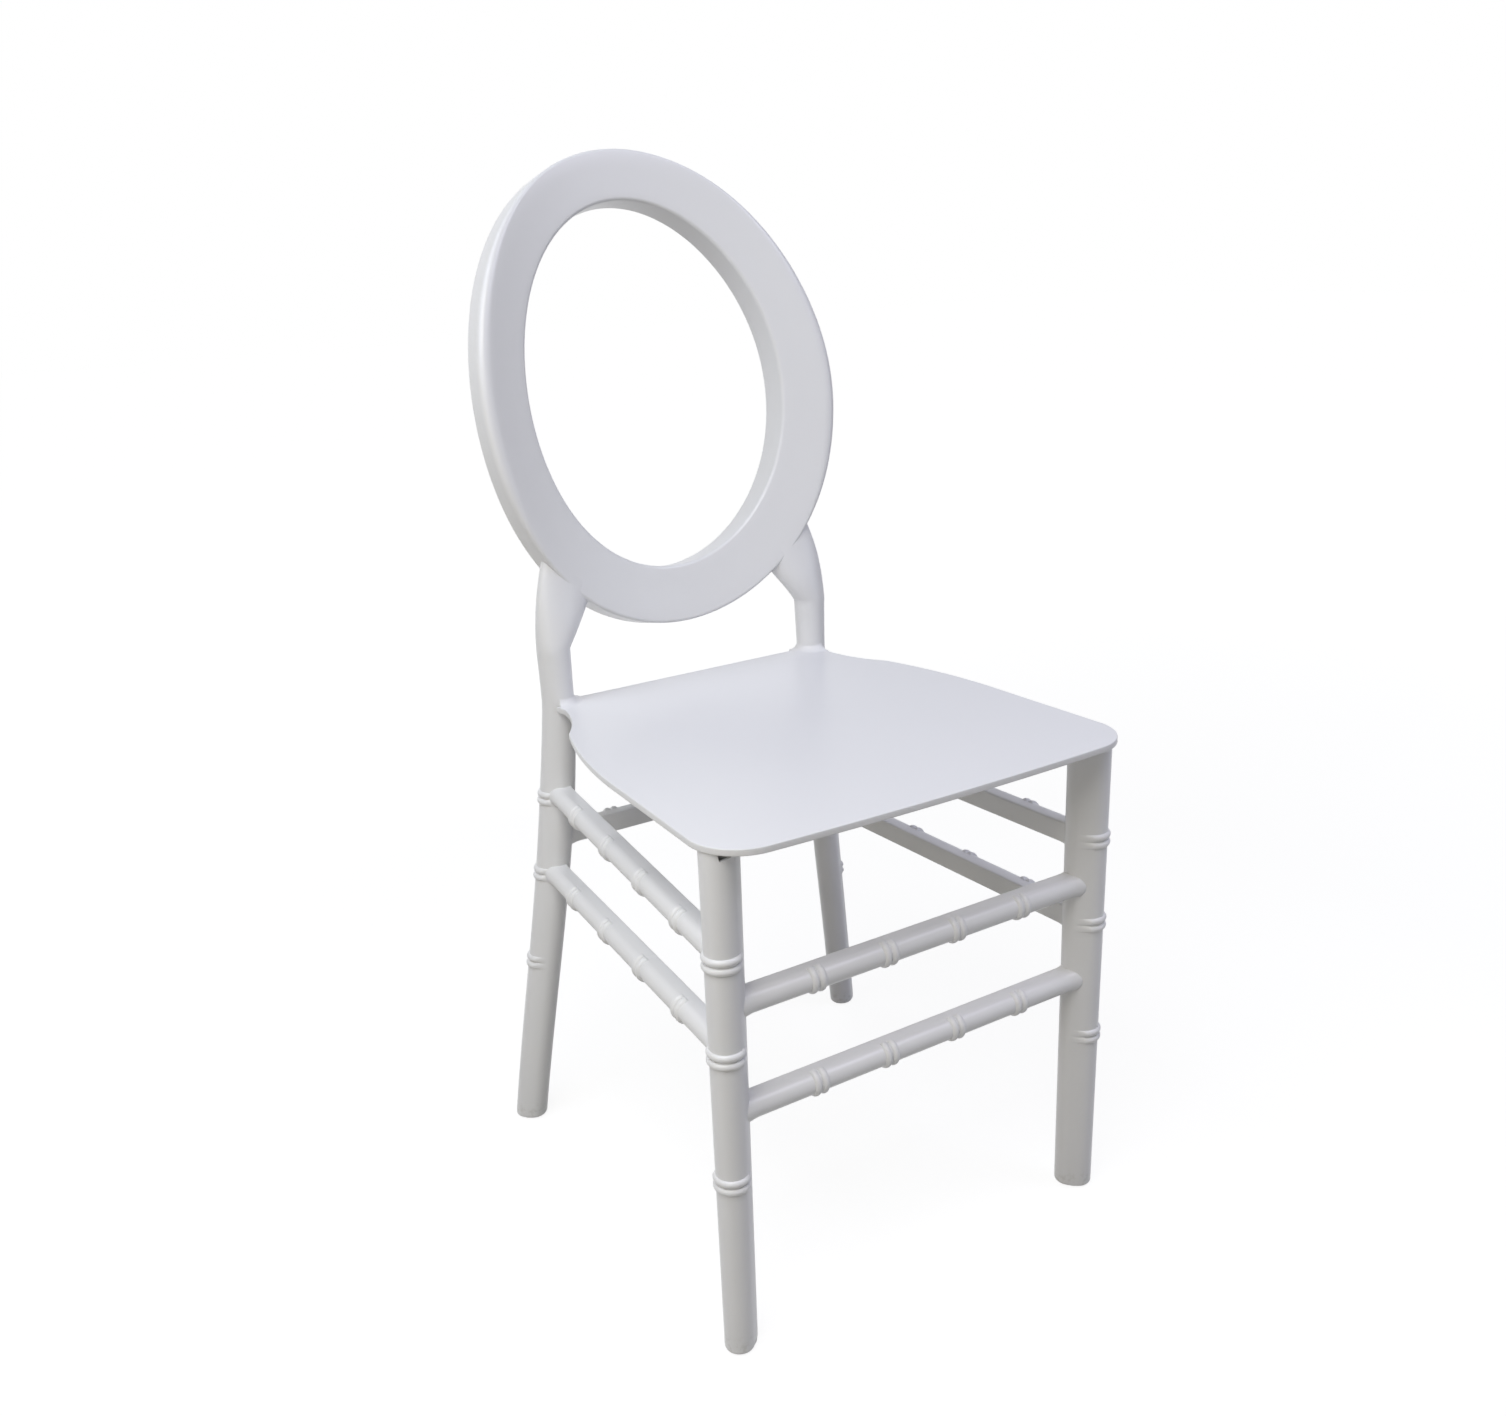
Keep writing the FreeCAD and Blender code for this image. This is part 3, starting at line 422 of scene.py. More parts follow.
class Mould:
    """A shape in the making, in millimetres, that leaves as a piece in metres."""

    def __init__(self) -> None:
        """Start empty, with a layer for each point's mark: its turn round the section and its place."""
        self.bm = bmesh.new()
        self.mark = self.bm.verts.layers.float_vector.new("mark")

    def loop(self, segments: int, section: Section) -> Edges:
        """Lay the first loop of a skin.

        Args:
            segments: Points round the loop.
            section: Place of a point for its mark.

        Returns:
            The loop's edges.
        """
        verts = bmesh.ops.create_circle(self.bm, segments=segments, radius=1.0)["verts"]
        for vert in verts:
            vert[self.mark] = (math.atan2(vert.co.y, vert.co.x), vert.co.x, vert.co.y)
            vert.co = section(vert[self.mark])
        return list({edge for vert in verts for edge in vert.link_edges})

    def pull(self, edges: Edges, section: Section) -> Edges:
        """Pull the last loop of a skin out to a new section.

        Args:
            edges: Edges of the last loop.
            section: Place of a point for its mark.

        Returns:
            The new loop's edges.
        """
        made = bmesh.ops.extrude_edge_only(self.bm, edges=edges)["geom"]
        verts = {item for item in made if isinstance(item, bmesh.types.BMVert)}
        for vert in verts:
            vert.co = section(vert[self.mark])
        found = [item for item in made if isinstance(item, bmesh.types.BMEdge)]
        return [edge for edge in found if verts.issuperset(edge.verts)]

    def skin(self, segments: int, sections: Iterable[Section]) -> tuple[Edges, Edges]:
        """Run a skin through a row of sections.

        Args:
            segments: Points round the skin.
            sections: Sections in order.

        Returns:
            The edges of the first and of the last loop.
        """
        first: Edges = []
        last: Edges = []
        for section in sections:
            last = self.pull(last, section) if last else self.loop(segments, section)
            first = first or last
        return first, last

    def cap(self, edges: Edges) -> None:
        """Close an open loop with one face."""
        bmesh.ops.edgeloop_fill(self.bm, edges=edges)

    def creases(self, least: float) -> Edges:
        """Find the edges at which the skin turns sharply.

        Args:
            least: Least angle between the two faces, in degrees.

        Returns:
            The edges.
        """
        limit = math.radians(least)
        shared = [edge for edge in self.bm.edges if len(edge.link_faces) == 2]
        return [edge for edge in shared if edge.calc_face_angle() > limit]

    def soften(self, edges: Edges, width: float, segments: int) -> None:
        """Round off edges.

        Args:
            edges: Edges to round.
            width: Distance from the edge to the start of its rounding.
            segments: Steps round the rounding.
        """
        bmesh.ops.bevel(
            self.bm,
            geom=edges,
            offset=width,
            offset_type="OFFSET",
            segments=segments,
            profile=0.5,
            affect="EDGES",
            material=-1,
            clamp_overlap=True,
        )

    def weld(self) -> None:
        """Merge points that lie together, then turn every face outward."""
        bmesh.ops.remove_doubles(self.bm, verts=self.bm.verts[:], dist=WELD)
        bmesh.ops.recalc_face_normals(self.bm, faces=self.bm.faces[:])

    def release(self, name: str, material: bpy.types.Material, nodes: Iterable[str]) -> None:
        """Turn the shape into a piece of the chair that stands for some of its solids.

        Args:
            name: Name of the piece.
            material: Its finish.
            nodes: Solids that it stands for.
        """
        self.weld()
        bmesh.ops.scale(self.bm, vec=Vector((MM, MM, MM)), verts=self.bm.verts[:])
        mesh = bpy.data.meshes.new(name)
        self.bm.to_mesh(mesh)
        self.bm.free()
        mesh.attributes.remove(mesh.attributes["mark"])
        mesh.shade_smooth()
        mesh.set_sharp_from_angle(angle=math.radians(SHARP_FROM))
        mesh.materials.append(material)
        piece = bpy.data.objects.new(name, mesh)
        bpy.context.scene.collection.objects.link(piece)
        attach(piece, "root")
        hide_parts(*nodes)
        LOG.info("%s: %d faces", name, len(mesh.polygons))


@dataclass(frozen=True)
class TwinRings:
    """Two beads side by side round the outer half of a leg or stretcher, like a bamboo joint."""

    radius: float = 3.2
    proud: float = 2.2
    pitch: float = 7.0
    steps: int = 5
    full_to: float = 81.0
    gone_at: float = 93.0
    clear: float = 0.5

    @property
    def reach(self) -> float:
        """Distance from the pair's middle to its outermost trace on the bar."""
        sink = self.radius - self.proud
        return self.pitch / 2.0 + math.sqrt(self.radius**2 - sink**2)

    def profile(self) -> list[tuple[float, float]]:
        """Draw the pair's outline.

        Returns:
            Distances along the bar from the pair's middle, with the bead's height at each.
        """
        sink = self.radius - self.proud
        arc = math.acos(sink / self.radius)
        rows = []
        for centre in (-self.pitch / 2.0, self.pitch / 2.0):
            for step in range(-self.steps, self.steps + 1):
                turn = arc * step / self.steps
                rows.append((centre + self.radius * math.sin(turn), self.radius * math.cos(turn) - sink))
        return rows

    def share(self, turn: float) -> float:
        """Share of the bead's height at a turn from the outward side, none on the inner half."""
        over = (abs(math.degrees(turn)) - self.full_to) / (self.gone_at - self.full_to)
        return 1.0 - ease(over)

    def rows(self, plain: Iterable[float], middles: Iterable[float]) -> list[tuple[float, float]]:
        """Merge plain places along a bar with those of its ring pairs.

        Args:
            plain: Places with no bead.
            middles: Middles of the ring pairs.

        Returns:
            Places along the bar in order, with the bead's height at each.
        """
        spots = list(middles)
        rows = [(spot + step, bead) for spot in spots for step, bead in self.profile()]
        room = self.reach + self.clear
        rows += [(place, 0.0) for place in plain if all(abs(place - spot) > room for spot in spots)]
        return sorted(rows)


@dataclass
class BackHoop:
    """Egg-shaped ring that leans back and wraps round the sitter, with soft edges."""

    centre_y: float = 181.7
    centre_z: float = 703.8
    lean: float = 11.3
    half_width: float = 178.7
    half_height: float = 216.8
    egg: float = 0.033
    band: float = 49.7
    band_top: float = 45.6
    band_bottom: float = 53.6
    depth: float = 31.9
    wrap_radius: float = 375.0
    outer_round: float = 12.5
    narrow_round: float = 3.0
    narrow_turns: Span = (25.0, 140.0)
    wide_turns: Span = (80.0, 100.0)
    round_steps: int = 6
    inner_round: float = 3.2
    back_round: float = 2.0
    segments: int = 168
    face_rows: int = 6
    first_row: int = 2
    crease: float = 30.0

    @property
    def place(self) -> Matrix:
        """Place of the hoop's own frame in the chair."""
        middle = Matrix.Translation((0.0, self.centre_y, self.centre_z))
        return middle @ Matrix.Rotation(math.radians(-self.lean), 4, "X")

    def face(self, x: float) -> float:
        """Depth of the wrapped front face at a distance from the middle."""
        return math.sqrt(self.wrap_radius**2 - x * x) - self.wrap_radius

    def rim(self, turn: float) -> Vector:
        """Point of the outer outline at a turn from the top, flat in the hoop's frame."""
        widen = 1.0 - self.egg * math.cos(turn)
        return Vector((self.half_width * math.sin(turn) * widen, 0.0, self.half_height * math.cos(turn)))

    def opening(self, turn: float) -> Vector:
        """Point of the opening's outline, flat in the hoop's frame.

        Args:
            turn: Turn from the top.

        Returns:
            The point.
        """
        widen = 1.0 - self.egg * math.cos(turn)
        shift = (self.band_bottom - self.band_top) / 2.0
        half_height = self.half_height - (self.band_top + self.band_bottom) / 2.0
        x = (self.half_width - self.band) * math.sin(turn) * widen
        return Vector((x, 0.0, shift + half_height * math.cos(turn)))

    def rounding(self, turn: float) -> float:
        """Width of the outer front edge's rounding, wide at the sides and narrow at the top and bottom.

        Args:
            turn: Turn from the top.

        Returns:
            The width.
        """
        away = abs(math.degrees(turn))
        upper = (away - self.narrow_turns[0]) / (self.wide_turns[0] - self.narrow_turns[0])
        lower = (self.narrow_turns[1] - away) / (self.narrow_turns[1] - self.wide_turns[1])
        return blend(self.narrow_round, self.outer_round, ease(min(upper, lower)))

    def edge_row(self, step: int) -> Section:
        """One loop of the outer front edge's rounding.

        Args:
            step: Step of the rounding, from none at the face to the last at the rim.

        Returns:
            The loop's section.
        """
        lean = math.pi / 2.0 * step / self.round_steps

        def point(mark: Vector) -> Vector:
            """Place a point of the rounding.

            Args:
                mark: The point's mark.

            Returns:
                Its place.
            """
            width = self.rounding(mark.x)
            rim = self.rim(mark.x)
            spot = rim + (self.opening(mark.x) - rim).normalized() * width * (1.0 - math.sin(lean))
            spot.y = self.face(spot.x) + width * (1.0 - math.cos(lean))
            return spot

        return point

    def row(self, share: float, back: float) -> Section:
        """One loop of the hoop's skin.

        Args:
            share: Share of the band from the rim to the opening.
            back: Share of the depth from the front face to the back.

        Returns:
            The loop's section.
        """

        def point(mark: Vector) -> Vector:
            """Place a point of the skin.

            Args:
                mark: The point's mark.

            Returns:
                Its place.
            """
            spot = self.rim(mark.x).lerp(self.opening(mark.x), share)
            spot.y = self.face(spot.x) + self.depth * back
            return spot

        return point

    def buried(self, spot: Vector) -> float:
        """How far a point lies inside the outer outline, about.

        Args:
            spot: Point in the hoop's frame.

        Returns:
            The distance, less than nothing outside.
        """
        high = min(1.0, max(-1.0, spot.z / self.half_height))
        across = spot.x / (self.half_width * (1.0 - self.egg * high))
        inside = 1.0 - across * across - (spot.z / self.half_height) ** 2
        return inside * math.hypot(spot.x, spot.z) / 2.0

    def build(self, material: bpy.types.Material) -> None:
        """Make the hoop.

        Args:
            material: Its resin.
        """
        mould = Mould()
        steps = [step / self.face_rows for step in range(self.face_rows + 1)]
        rows = [self.edge_row(0)] + [self.row(share, back=0.0) for share in steps[self.first_row :]]
        rows += [self.row(share=1.0, back=0.5)]
        rows += [self.row(share, back=1.0) for share in reversed(steps)]
        rows += [self.row(share=0.0, back=0.5)]
        rows += [self.edge_row(step) for step in range(self.round_steps, -1, -1)]
        mould.skin(self.segments, rows)
        mould.weld()
        self.soften(mould)
        bmesh.ops.transform(mould.bm, matrix=self.place, verts=mould.bm.verts[:])
        mould.release("hoop_back", material, ["back_hoop"])

    def soften(self, mould: Mould) -> None:
        """Round the hoop's inner front edge and its two back edges.

        Args:
            mould: Mould that holds the hoop.
        """
        groups: dict[float, Edges] = {self.inner_round: [], self.back_round: []}
        for edge in mould.creases(self.crease):
            spot = (edge.verts[0].co + edge.verts[1].co) / 2.0
            behind = spot.y - self.face(spot.x) > self.depth / 2.0
            groups[self.back_round if behind else self.inner_round].append(edge)
        for width, edges in groups.items():
            mould.soften(edges, width, self.round_steps)


@dataclass
class Leg:
    """What front and rear legs share: a tapered skin of two halves, with rings round the outer half."""

    side: Side
    row: Row
    foot: tuple[float, float]
    top: tuple[float, float]
    foot_radius: float
    top_radius: float
    half_gap: float
    ring_heights: tuple[float, ...]
    rings: TwinRings = field(default_factory=TwinRings)
    seat_top: float = 440.0
    foot_gap: float = 2.0
    foot_round: float = 1.8
    foot_round_height: float = 3.0
    foot_steps: int = 4
    diagonal: float = 45.0
    parting_ridge: float = 0.6
    segments: int = 72

    @property
    def name(self) -> str:
        """Name of the solid that the leg stands for."""
        return f"{self.row.value}_leg_{self.side.word}"

    @property
    def facing(self) -> float:
        """Direction of the outer half on the right-hand leg, as an angle in plan."""
        return math.radians(-self.diagonal if self.row is Row.FRONT else self.diagonal)

    def axis(self, z: float) -> tuple[float, float]:
        """Place of the right-hand leg's axis in plan at a height."""
        share = z / self.seat_top
        return blend(self.foot[0], self.top[0], share), blend(self.foot[1], self.top[1], share)

    def radius(self, z: float) -> float:
        """Radius of the leg's halves at a height."""
        return blend(self.foot_radius, self.top_radius, z / self.seat_top)

    def gap(self, z: float) -> float:
        """Half of the flat between the two halves at a height."""
        return self.half_gap

    def ridge(self, z: float) -> float:
        """Height of the parting ridge at a height."""
        return self.parting_ridge

    def section(
        self, z: float, bead: float = 0.0, inset: float = 0.0, drop: Callable[[float], float] | None = None
    ) -> Section:
        """Section of the leg at a height.

        Args:
            z: Height.
            bead: Height of a ring there.
            inset: How far the section is drawn in.
            drop: How far the point at a turn is lowered.

        Returns:
            The section.
        """
        x, y = self.axis(z)
        plain = self.radius(z) - inset

        def point(mark: Vector) -> Vector:
            """Place a point of the section.

            Args:
                mark: The point's mark.

            Returns:
                Its place.
            """
            turn = mark.x
            radius = plain + bead * self.rings.share(turn)
            along = radius * math.cos(turn)
            across = radius * math.sin(turn)
            if abs(math.cos(turn)) > PARTING:
                along += math.copysign(self.gap(z), along)
            else:
                across += math.copysign(self.ridge(z), across)
            out = Vector((along, across)) @ Matrix.Rotation(-self.facing, 2)
            lowered = drop(turn) if drop else 0.0
            return Vector(((x + out.x) * self.side.value, y + out.y, z - lowered))

        return point

    def foot_sections(self) -> list[Section]:
        """Sections of the rounded foot.

        Returns:
            The sections from the floor up.
        """
        sections = []
        for step in range(self.foot_steps + 1):
            turn = math.radians(90.0 * step / self.foot_steps)
            inset = self.foot_round * (1.0 - math.sin(turn))
            rise = self.foot_round_height * (1.0 - math.cos(turn))
            sections.append(self.section(self.foot_gap + rise, inset=inset))
        return sections

    def shaft_sections(self, end: float, pitch: float) -> list[Section]:
        """Sections of the shaft with its rings, above the foot.

        Args:
            end: Height at which the shaft ends.
            pitch: Distance between plain sections.

        Returns:
            The sections in order.
        """
        start = self.foot_gap + self.foot_round_height
        count = max(1, round((end - start) / pitch))
        plain = [blend(start, end, step / count) for step in range(1, count + 1)]
        return [self.section(z, bead) for z, bead in self.rings.rows(plain, self.ring_heights)]


@dataclass
class FrontLeg(Leg):
    """Front leg with a hollow top that takes the seat's plug."""

    row: Row = Row.FRONT
    foot: Span = (177.3, -211.6)
    top: Span = (175.6, -218.5)
    foot_radius: float = 12.2
    top_radius: float = 13.9
    half_gap: float = 4.0
    ring_heights: tuple[float, ...] = (345.6, 268.1, 159.2)
    end: float = 434.5
    wall: float = 2.6
    socket_depth: float = 33.0
    notch_depth: float = 6.4
    notch_fall: float = 2.2
    notch_from: float = 17.0
    notch_to: float = 73.0
    notch_run: float = 15.0
    row_pitch: float = 40.0

    def notch(self, turn: float) -> float:
        """How far the leg's top is lowered: a notch on the left leg, nothing on the right.

        Args:
            turn: Turn from the outer side.

        Returns:
            The depth.
        """
        share = (-math.degrees(turn) - self.notch_from) / (self.notch_to - self.notch_from)
        cut = self.side is Side.LEFT and 0.0 < share < 1.0
        return self.notch_depth - self.notch_fall * share if cut else 0.0

    def build(self, material: bpy.types.Material) -> None:
        """Make the leg.

        Args:
            material: Its resin.
        """
        mould = Mould()
        sections = self.foot_sections() + self.shaft_sections(self.end - self.notch_run, self.row_pitch)
        sections += [self.section(self.end, drop=self.notch)]
        sections += [self.section(self.end, inset=self.wall, drop=self.notch)]
        sections += [self.section(self.end - self.socket_depth, inset=self.wall)]
        for closed in mould.skin(self.segments, sections):
            mould.cap(closed)
        mould.release(self.name + "_moulding", material, [self.name])


@dataclass
class RearLeg(Leg):
    """Rear leg that bows up to the seat, runs on as a post and widens into the hoop's rim."""

    row: Row = Row.REAR
    foot: Span = (192.3, 177.7)
    top: Span = (138.6, 136.2)
    foot_radius: float = 12.4
    top_radius: float = 13.9
    half_gap: float = 3.2
    ring_heights: tuple[float, ...] = (348.6, 271.6, 178.2)
    bow: Span = (4.5, 3.1)
    post_radius: float = 15.3
    post_half_gap: float = 0.4
    flare_start: float = 490.0
    flare_height: float = 70.0
    inner_reach: float = 51.0
    outer_reach: float = 9.0
    back_reach: float = 13.0
    flare_twist: float = -20.0
    depth_loss: float = 1.3
    inner_power: float = 1.05
    outer_power: float = 2.0
    back_power: float = 1.8
    gap_from: float = 330.0
    ridge_from: float = 400.0
    bury: float = 20.0
    dive_from: float = 0.4
    settle: float = 2.0
    flush_run: float = 40.0
    proud: float = 0.1
    tuck: float = 0.5
    row_pitch: float = 11.0
    flare_margin: float = 4.0
    flare_rows: int = 28
    longest: float = 1.7
    halvings: int = 24
    hoop: BackHoop = field(default_factory=BackHoop)

    def axis(self, z: float) -> tuple[float, float]:
        """Place of the right-hand leg's axis in plan.

        Args:
            z: Height.

        Returns:
            The place, which stays above the seat.
        """
        share = min(1.0, z / self.seat_top)
        sag = BOW_PEAK * share * share * (1.0 - share)
        x = blend(self.foot[0], self.top[0], share) - self.bow[0] * sag
        return x, blend(self.foot[1], self.top[1], share) - self.bow[1] * sag

    def radius(self, z: float) -> float:
        """Radius of the leg's halves, which grows to the post's above the seat.

        Args:
            z: Height.

        Returns:
            The radius.
        """
        plain = blend(self.foot_radius, self.top_radius, min(1.0, z / self.seat_top))
        growth = self.post_radius - self.post_half_gap - self.top_radius
        return plain + growth * ease((z - self.seat_top) / (self.flare_start - self.seat_top))

    def gap(self, z: float) -> float:
        """Half of the flat between the two halves at a height."""
        share = ease((z - self.gap_from) / (self.flare_start - self.gap_from))
        return blend(self.half_gap, self.post_half_gap, share)

    def ridge(self, z: float) -> float:
        """Height of the parting ridge at a height."""
        share = ease((z - self.ridge_from) / (self.flare_start - self.ridge_from))
        return self.parting_ridge * (1.0 - share)

    def flare(self, turn: float, step: float) -> Vector:
        """Point of the right-hand shoulder.

        Args:
            turn: Turn from the outer side.
            step: Share of the shoulder's height.

        Returns:
            The point, before it is fitted to the hoop.
        """
        inner = self.post_radius + self.inner_reach * step**self.inner_power
        outer = self.post_radius - self.outer_reach * step**self.outer_power
        depth = self.post_radius - self.depth_loss * step
        around = turn + self.facing
        spot = Vector(((inner + outer) / 2.0 * math.cos(around), depth * math.sin(around)))
        spot = Matrix.Rotation(math.radians(self.flare_twist * step), 2) @ spot
        x = self.top[0] + (outer - inner) / 2.0 + spot.x
        y = self.top[1] + self.back_reach * step**self.back_power + spot.y
        return Vector((x, y, self.flare_start + self.flare_height * step))

    def reach_of(self, turn: float, depth: float) -> float:
        """Share of the shoulder's height at which a line of it lies a depth inside the hoop's rim.

        Args:
            turn: Turn of the line from the outer side.
            depth: Depth inside the rim.

        Returns:
            The share, at most the longest one.
        """
        home = self.hoop.place.inverted()
        low, high = 0.0, self.longest
        for _ in range(self.halvings):
            middle = (low + high) / 2.0
            if self.hoop.buried(home @ self.flare(turn, middle)) < depth:
                low = middle
            else:
                high = middle
        return high

    def rim_gap(self) -> float:
        """Measure how far the shoulder lies behind the hoop's face at the rim.

        Returns:
            The gap at the shoulder's foremost line.
        """
        home = self.hoop.place.inverted()
        gaps = []
        for step in range(self.segments):
            turn = math.tau * step / self.segments - math.pi
            spot = home @ self.flare(turn, self.reach_of(turn, 0.0))
            gaps.append(spot.y - self.hoop.face(spot.x))
        return min(gaps)

    def shoulder_section(self, share: float, gap: float, reaches: dict[float, float]) -> Section:
        """Loop of the shoulder a share of the way from the post into the rim.

        Args:
            share: Share of the way.
            gap: Distance by which the shoulder comes forward, so that it runs flush into the hoop's face.
            reaches: How far each line of the shoulder goes, by its turn.

        Returns:
            The section.
        """
        home = self.hoop.place.inverted()

        def point(mark: Vector) -> Vector:
            """Place a point of the loop.

            Args:
                mark: The point's mark.

            Returns:
                Its place.
            """
            turn = mark.x
            key = round(turn, TURN_DIGITS)
            if key not in reaches:
                reaches[key] = self.reach_of(turn, self.bury)
            spot = home @ self.flare(turn, reaches[key] * share)
            depth = self.hoop.buried(spot)
            spot.y -= gap * ease((depth + self.flush_run) / self.flush_run)
            dive = ease((depth / self.bury - self.dive_from) / (1.0 - self.dive_from))
            front = self.hoop.face(spot.x) + blend(-self.proud, self.tuck, dive)
            rear = self.hoop.face(spot.x) + self.hoop.depth - self.tuck
            spot.y = blend(spot.y, min(max(spot.y, front), rear), ease(depth / self.settle))
            spot = self.hoop.place @ spot
            return Vector((spot.x * self.side.value, spot.y, spot.z))

        return point

    def build(self, material: bpy.types.Material) -> None:
        """Make the leg.

        Args:
            material: Its resin.
        """
        mould = Mould()
        sections = self.foot_sections()
        sections += self.shaft_sections(self.flare_start - self.flare_margin, self.row_pitch)
        reaches: dict[float, float] = {}
        gap = self.rim_gap()
        for step in range(self.flare_rows + 1):
            sections.append(self.shoulder_section(step / self.flare_rows, gap, reaches))
        for closed in mould.skin(self.segments, sections):
            mould.cap(closed)
        mould.release(self.name + "_moulding", material, [self.name])


@dataclass
class Stretcher:
    """Bar between two legs, half round outside and flat inside, with four ring pairs."""

    name: str
    start: Vector
    end: Vector
    outward: Vector
    ring_pitch: float
    height: float = 18.9
    outer: float = 10.1
    inner: float = 9.0
    corner: float = 1.6
    corner_steps: int = 4
    arc_steps: int = 36
    arc_slack: float = 0.001
    leg_radius: float = 12.5
    sunk: float = 2.0
    fillet: float = 9.0
    fillet_swell: float = 0.11
    fillet_steps: int = 6
    fillet_rows: int = 9
    ring_count: int = 4
    rings: TwinRings = field(default_factory=TwinRings)

    @property
    def length(self) -> float:
        """Distance between the two legs' axes."""
        return (self.end - self.start).length

    @property
    def place(self) -> Matrix:
        """Place of the bar's frame.

        Returns:
            The frame, with X along the bar, Y outward and Z up.
        """
        along = (self.end - self.start).normalized()
        upward = along.cross(self.outward).normalized()
        upward = upward if upward.z > 0.0 else -upward
        outward = (self.outward - along * along.dot(self.outward)).normalized()
        return Matrix.Translation(self.start) @ Matrix((along, outward, upward)).transposed().to_4x4()

    def swell(self, x: float) -> float:
        """Growth of the section where the bar runs into a leg.

        Args:
            x: Distance from the bar's start.

        Returns:
            The factor, one on the plain bar.
        """
        near = min(x, self.length - x) - self.leg_radius
        share = min(1.0, max(0.0, 1.0 - near / self.fillet))
        return 1.0 + self.fillet_swell * share * share

    def profile(self, mould: Mould) -> Edges:
        """Draw the bar's half round section at its start.

        Args:
            mould: Mould to draw it in.

        Returns:
            The edges of the closed section.
        """
        radius = self.height / 2.0
        centre = self.outer - radius
        bm = mould.bm
        low = bm.verts.new((0.0, centre, -radius))
        arc = bmesh.ops.spin(
            bm,
            geom=[low],
            cent=(0.0, centre, 0.0),
            axis=(1.0, 0.0, 0.0),
            angle=math.pi,
            steps=self.arc_steps,
        )
        high = next(item for item in arc["geom_last"] if isinstance(item, bmesh.types.BMVert))
        corners = [bm.verts.new((0.0, -self.inner, sign * radius)) for sign in (1.0, -1.0)]
        for pair in ((high, corners[0]), (corners[0], corners[1]), (corners[1], low)):
            bm.edges.new(pair)
        bmesh.ops.bevel(
            bm,
            geom=corners,
            offset=self.corner,
            offset_type="OFFSET",
            segments=self.corner_steps,
            profile=0.5,
            affect="VERTICES",
            material=-1,
        )
        for vert in bm.verts:
            out = vert.co.y - centre
            turn = math.atan2(vert.co.z, out) if out > -self.arc_slack else math.pi
            vert[mould.mark] = (turn, vert.co.y, vert.co.z)
        return list(bm.edges)

    def section(self, x: float, bead: float) -> Section:
        """Section of the bar at a distance from its start.

        Args:
            x: Distance from the start.
            bead: Height of a ring there.

        Returns:
            The section.
        """
        grow = self.swell(x)
        centre = self.outer - self.height / 2.0

        def point(mark: Vector) -> Vector:
            """Place a point of the section by its mark."""
            lift = Vector((0.0, mark.y - centre, mark.z)).normalized() * (bead * self.rings.share(mark.x))
            return Vector((x, mark.y * grow, mark.z * grow)) + lift

        return point

    def build(self, material: bpy.types.Material) -> None:
        """Make the bar.

        Args:
            material: Its resin.
        """
        mould = Mould()
        edges = self.profile(mould)
        mould.cap(edges)
        first = self.length / 2.0 - (self.ring_count - 1) / 2.0 * self.ring_pitch
        middles = [first + step * self.ring_pitch for step in range(self.ring_count)]
        run = self.fillet / self.fillet_steps
        fillets = [self.leg_radius - self.sunk + step * run for step in range(self.fillet_rows)]
        plain = fillets + [self.length - x for x in fillets] + [self.length]
        for x, bead in self.rings.rows(plain, middles):
            edges = mould.pull(edges, self.section(x, bead))
        mould.cap(edges)
        bmesh.ops.transform(mould.bm, matrix=self.place, verts=mould.bm.verts[:])
        mould.release(self.name + "_bar", material, [self.name])


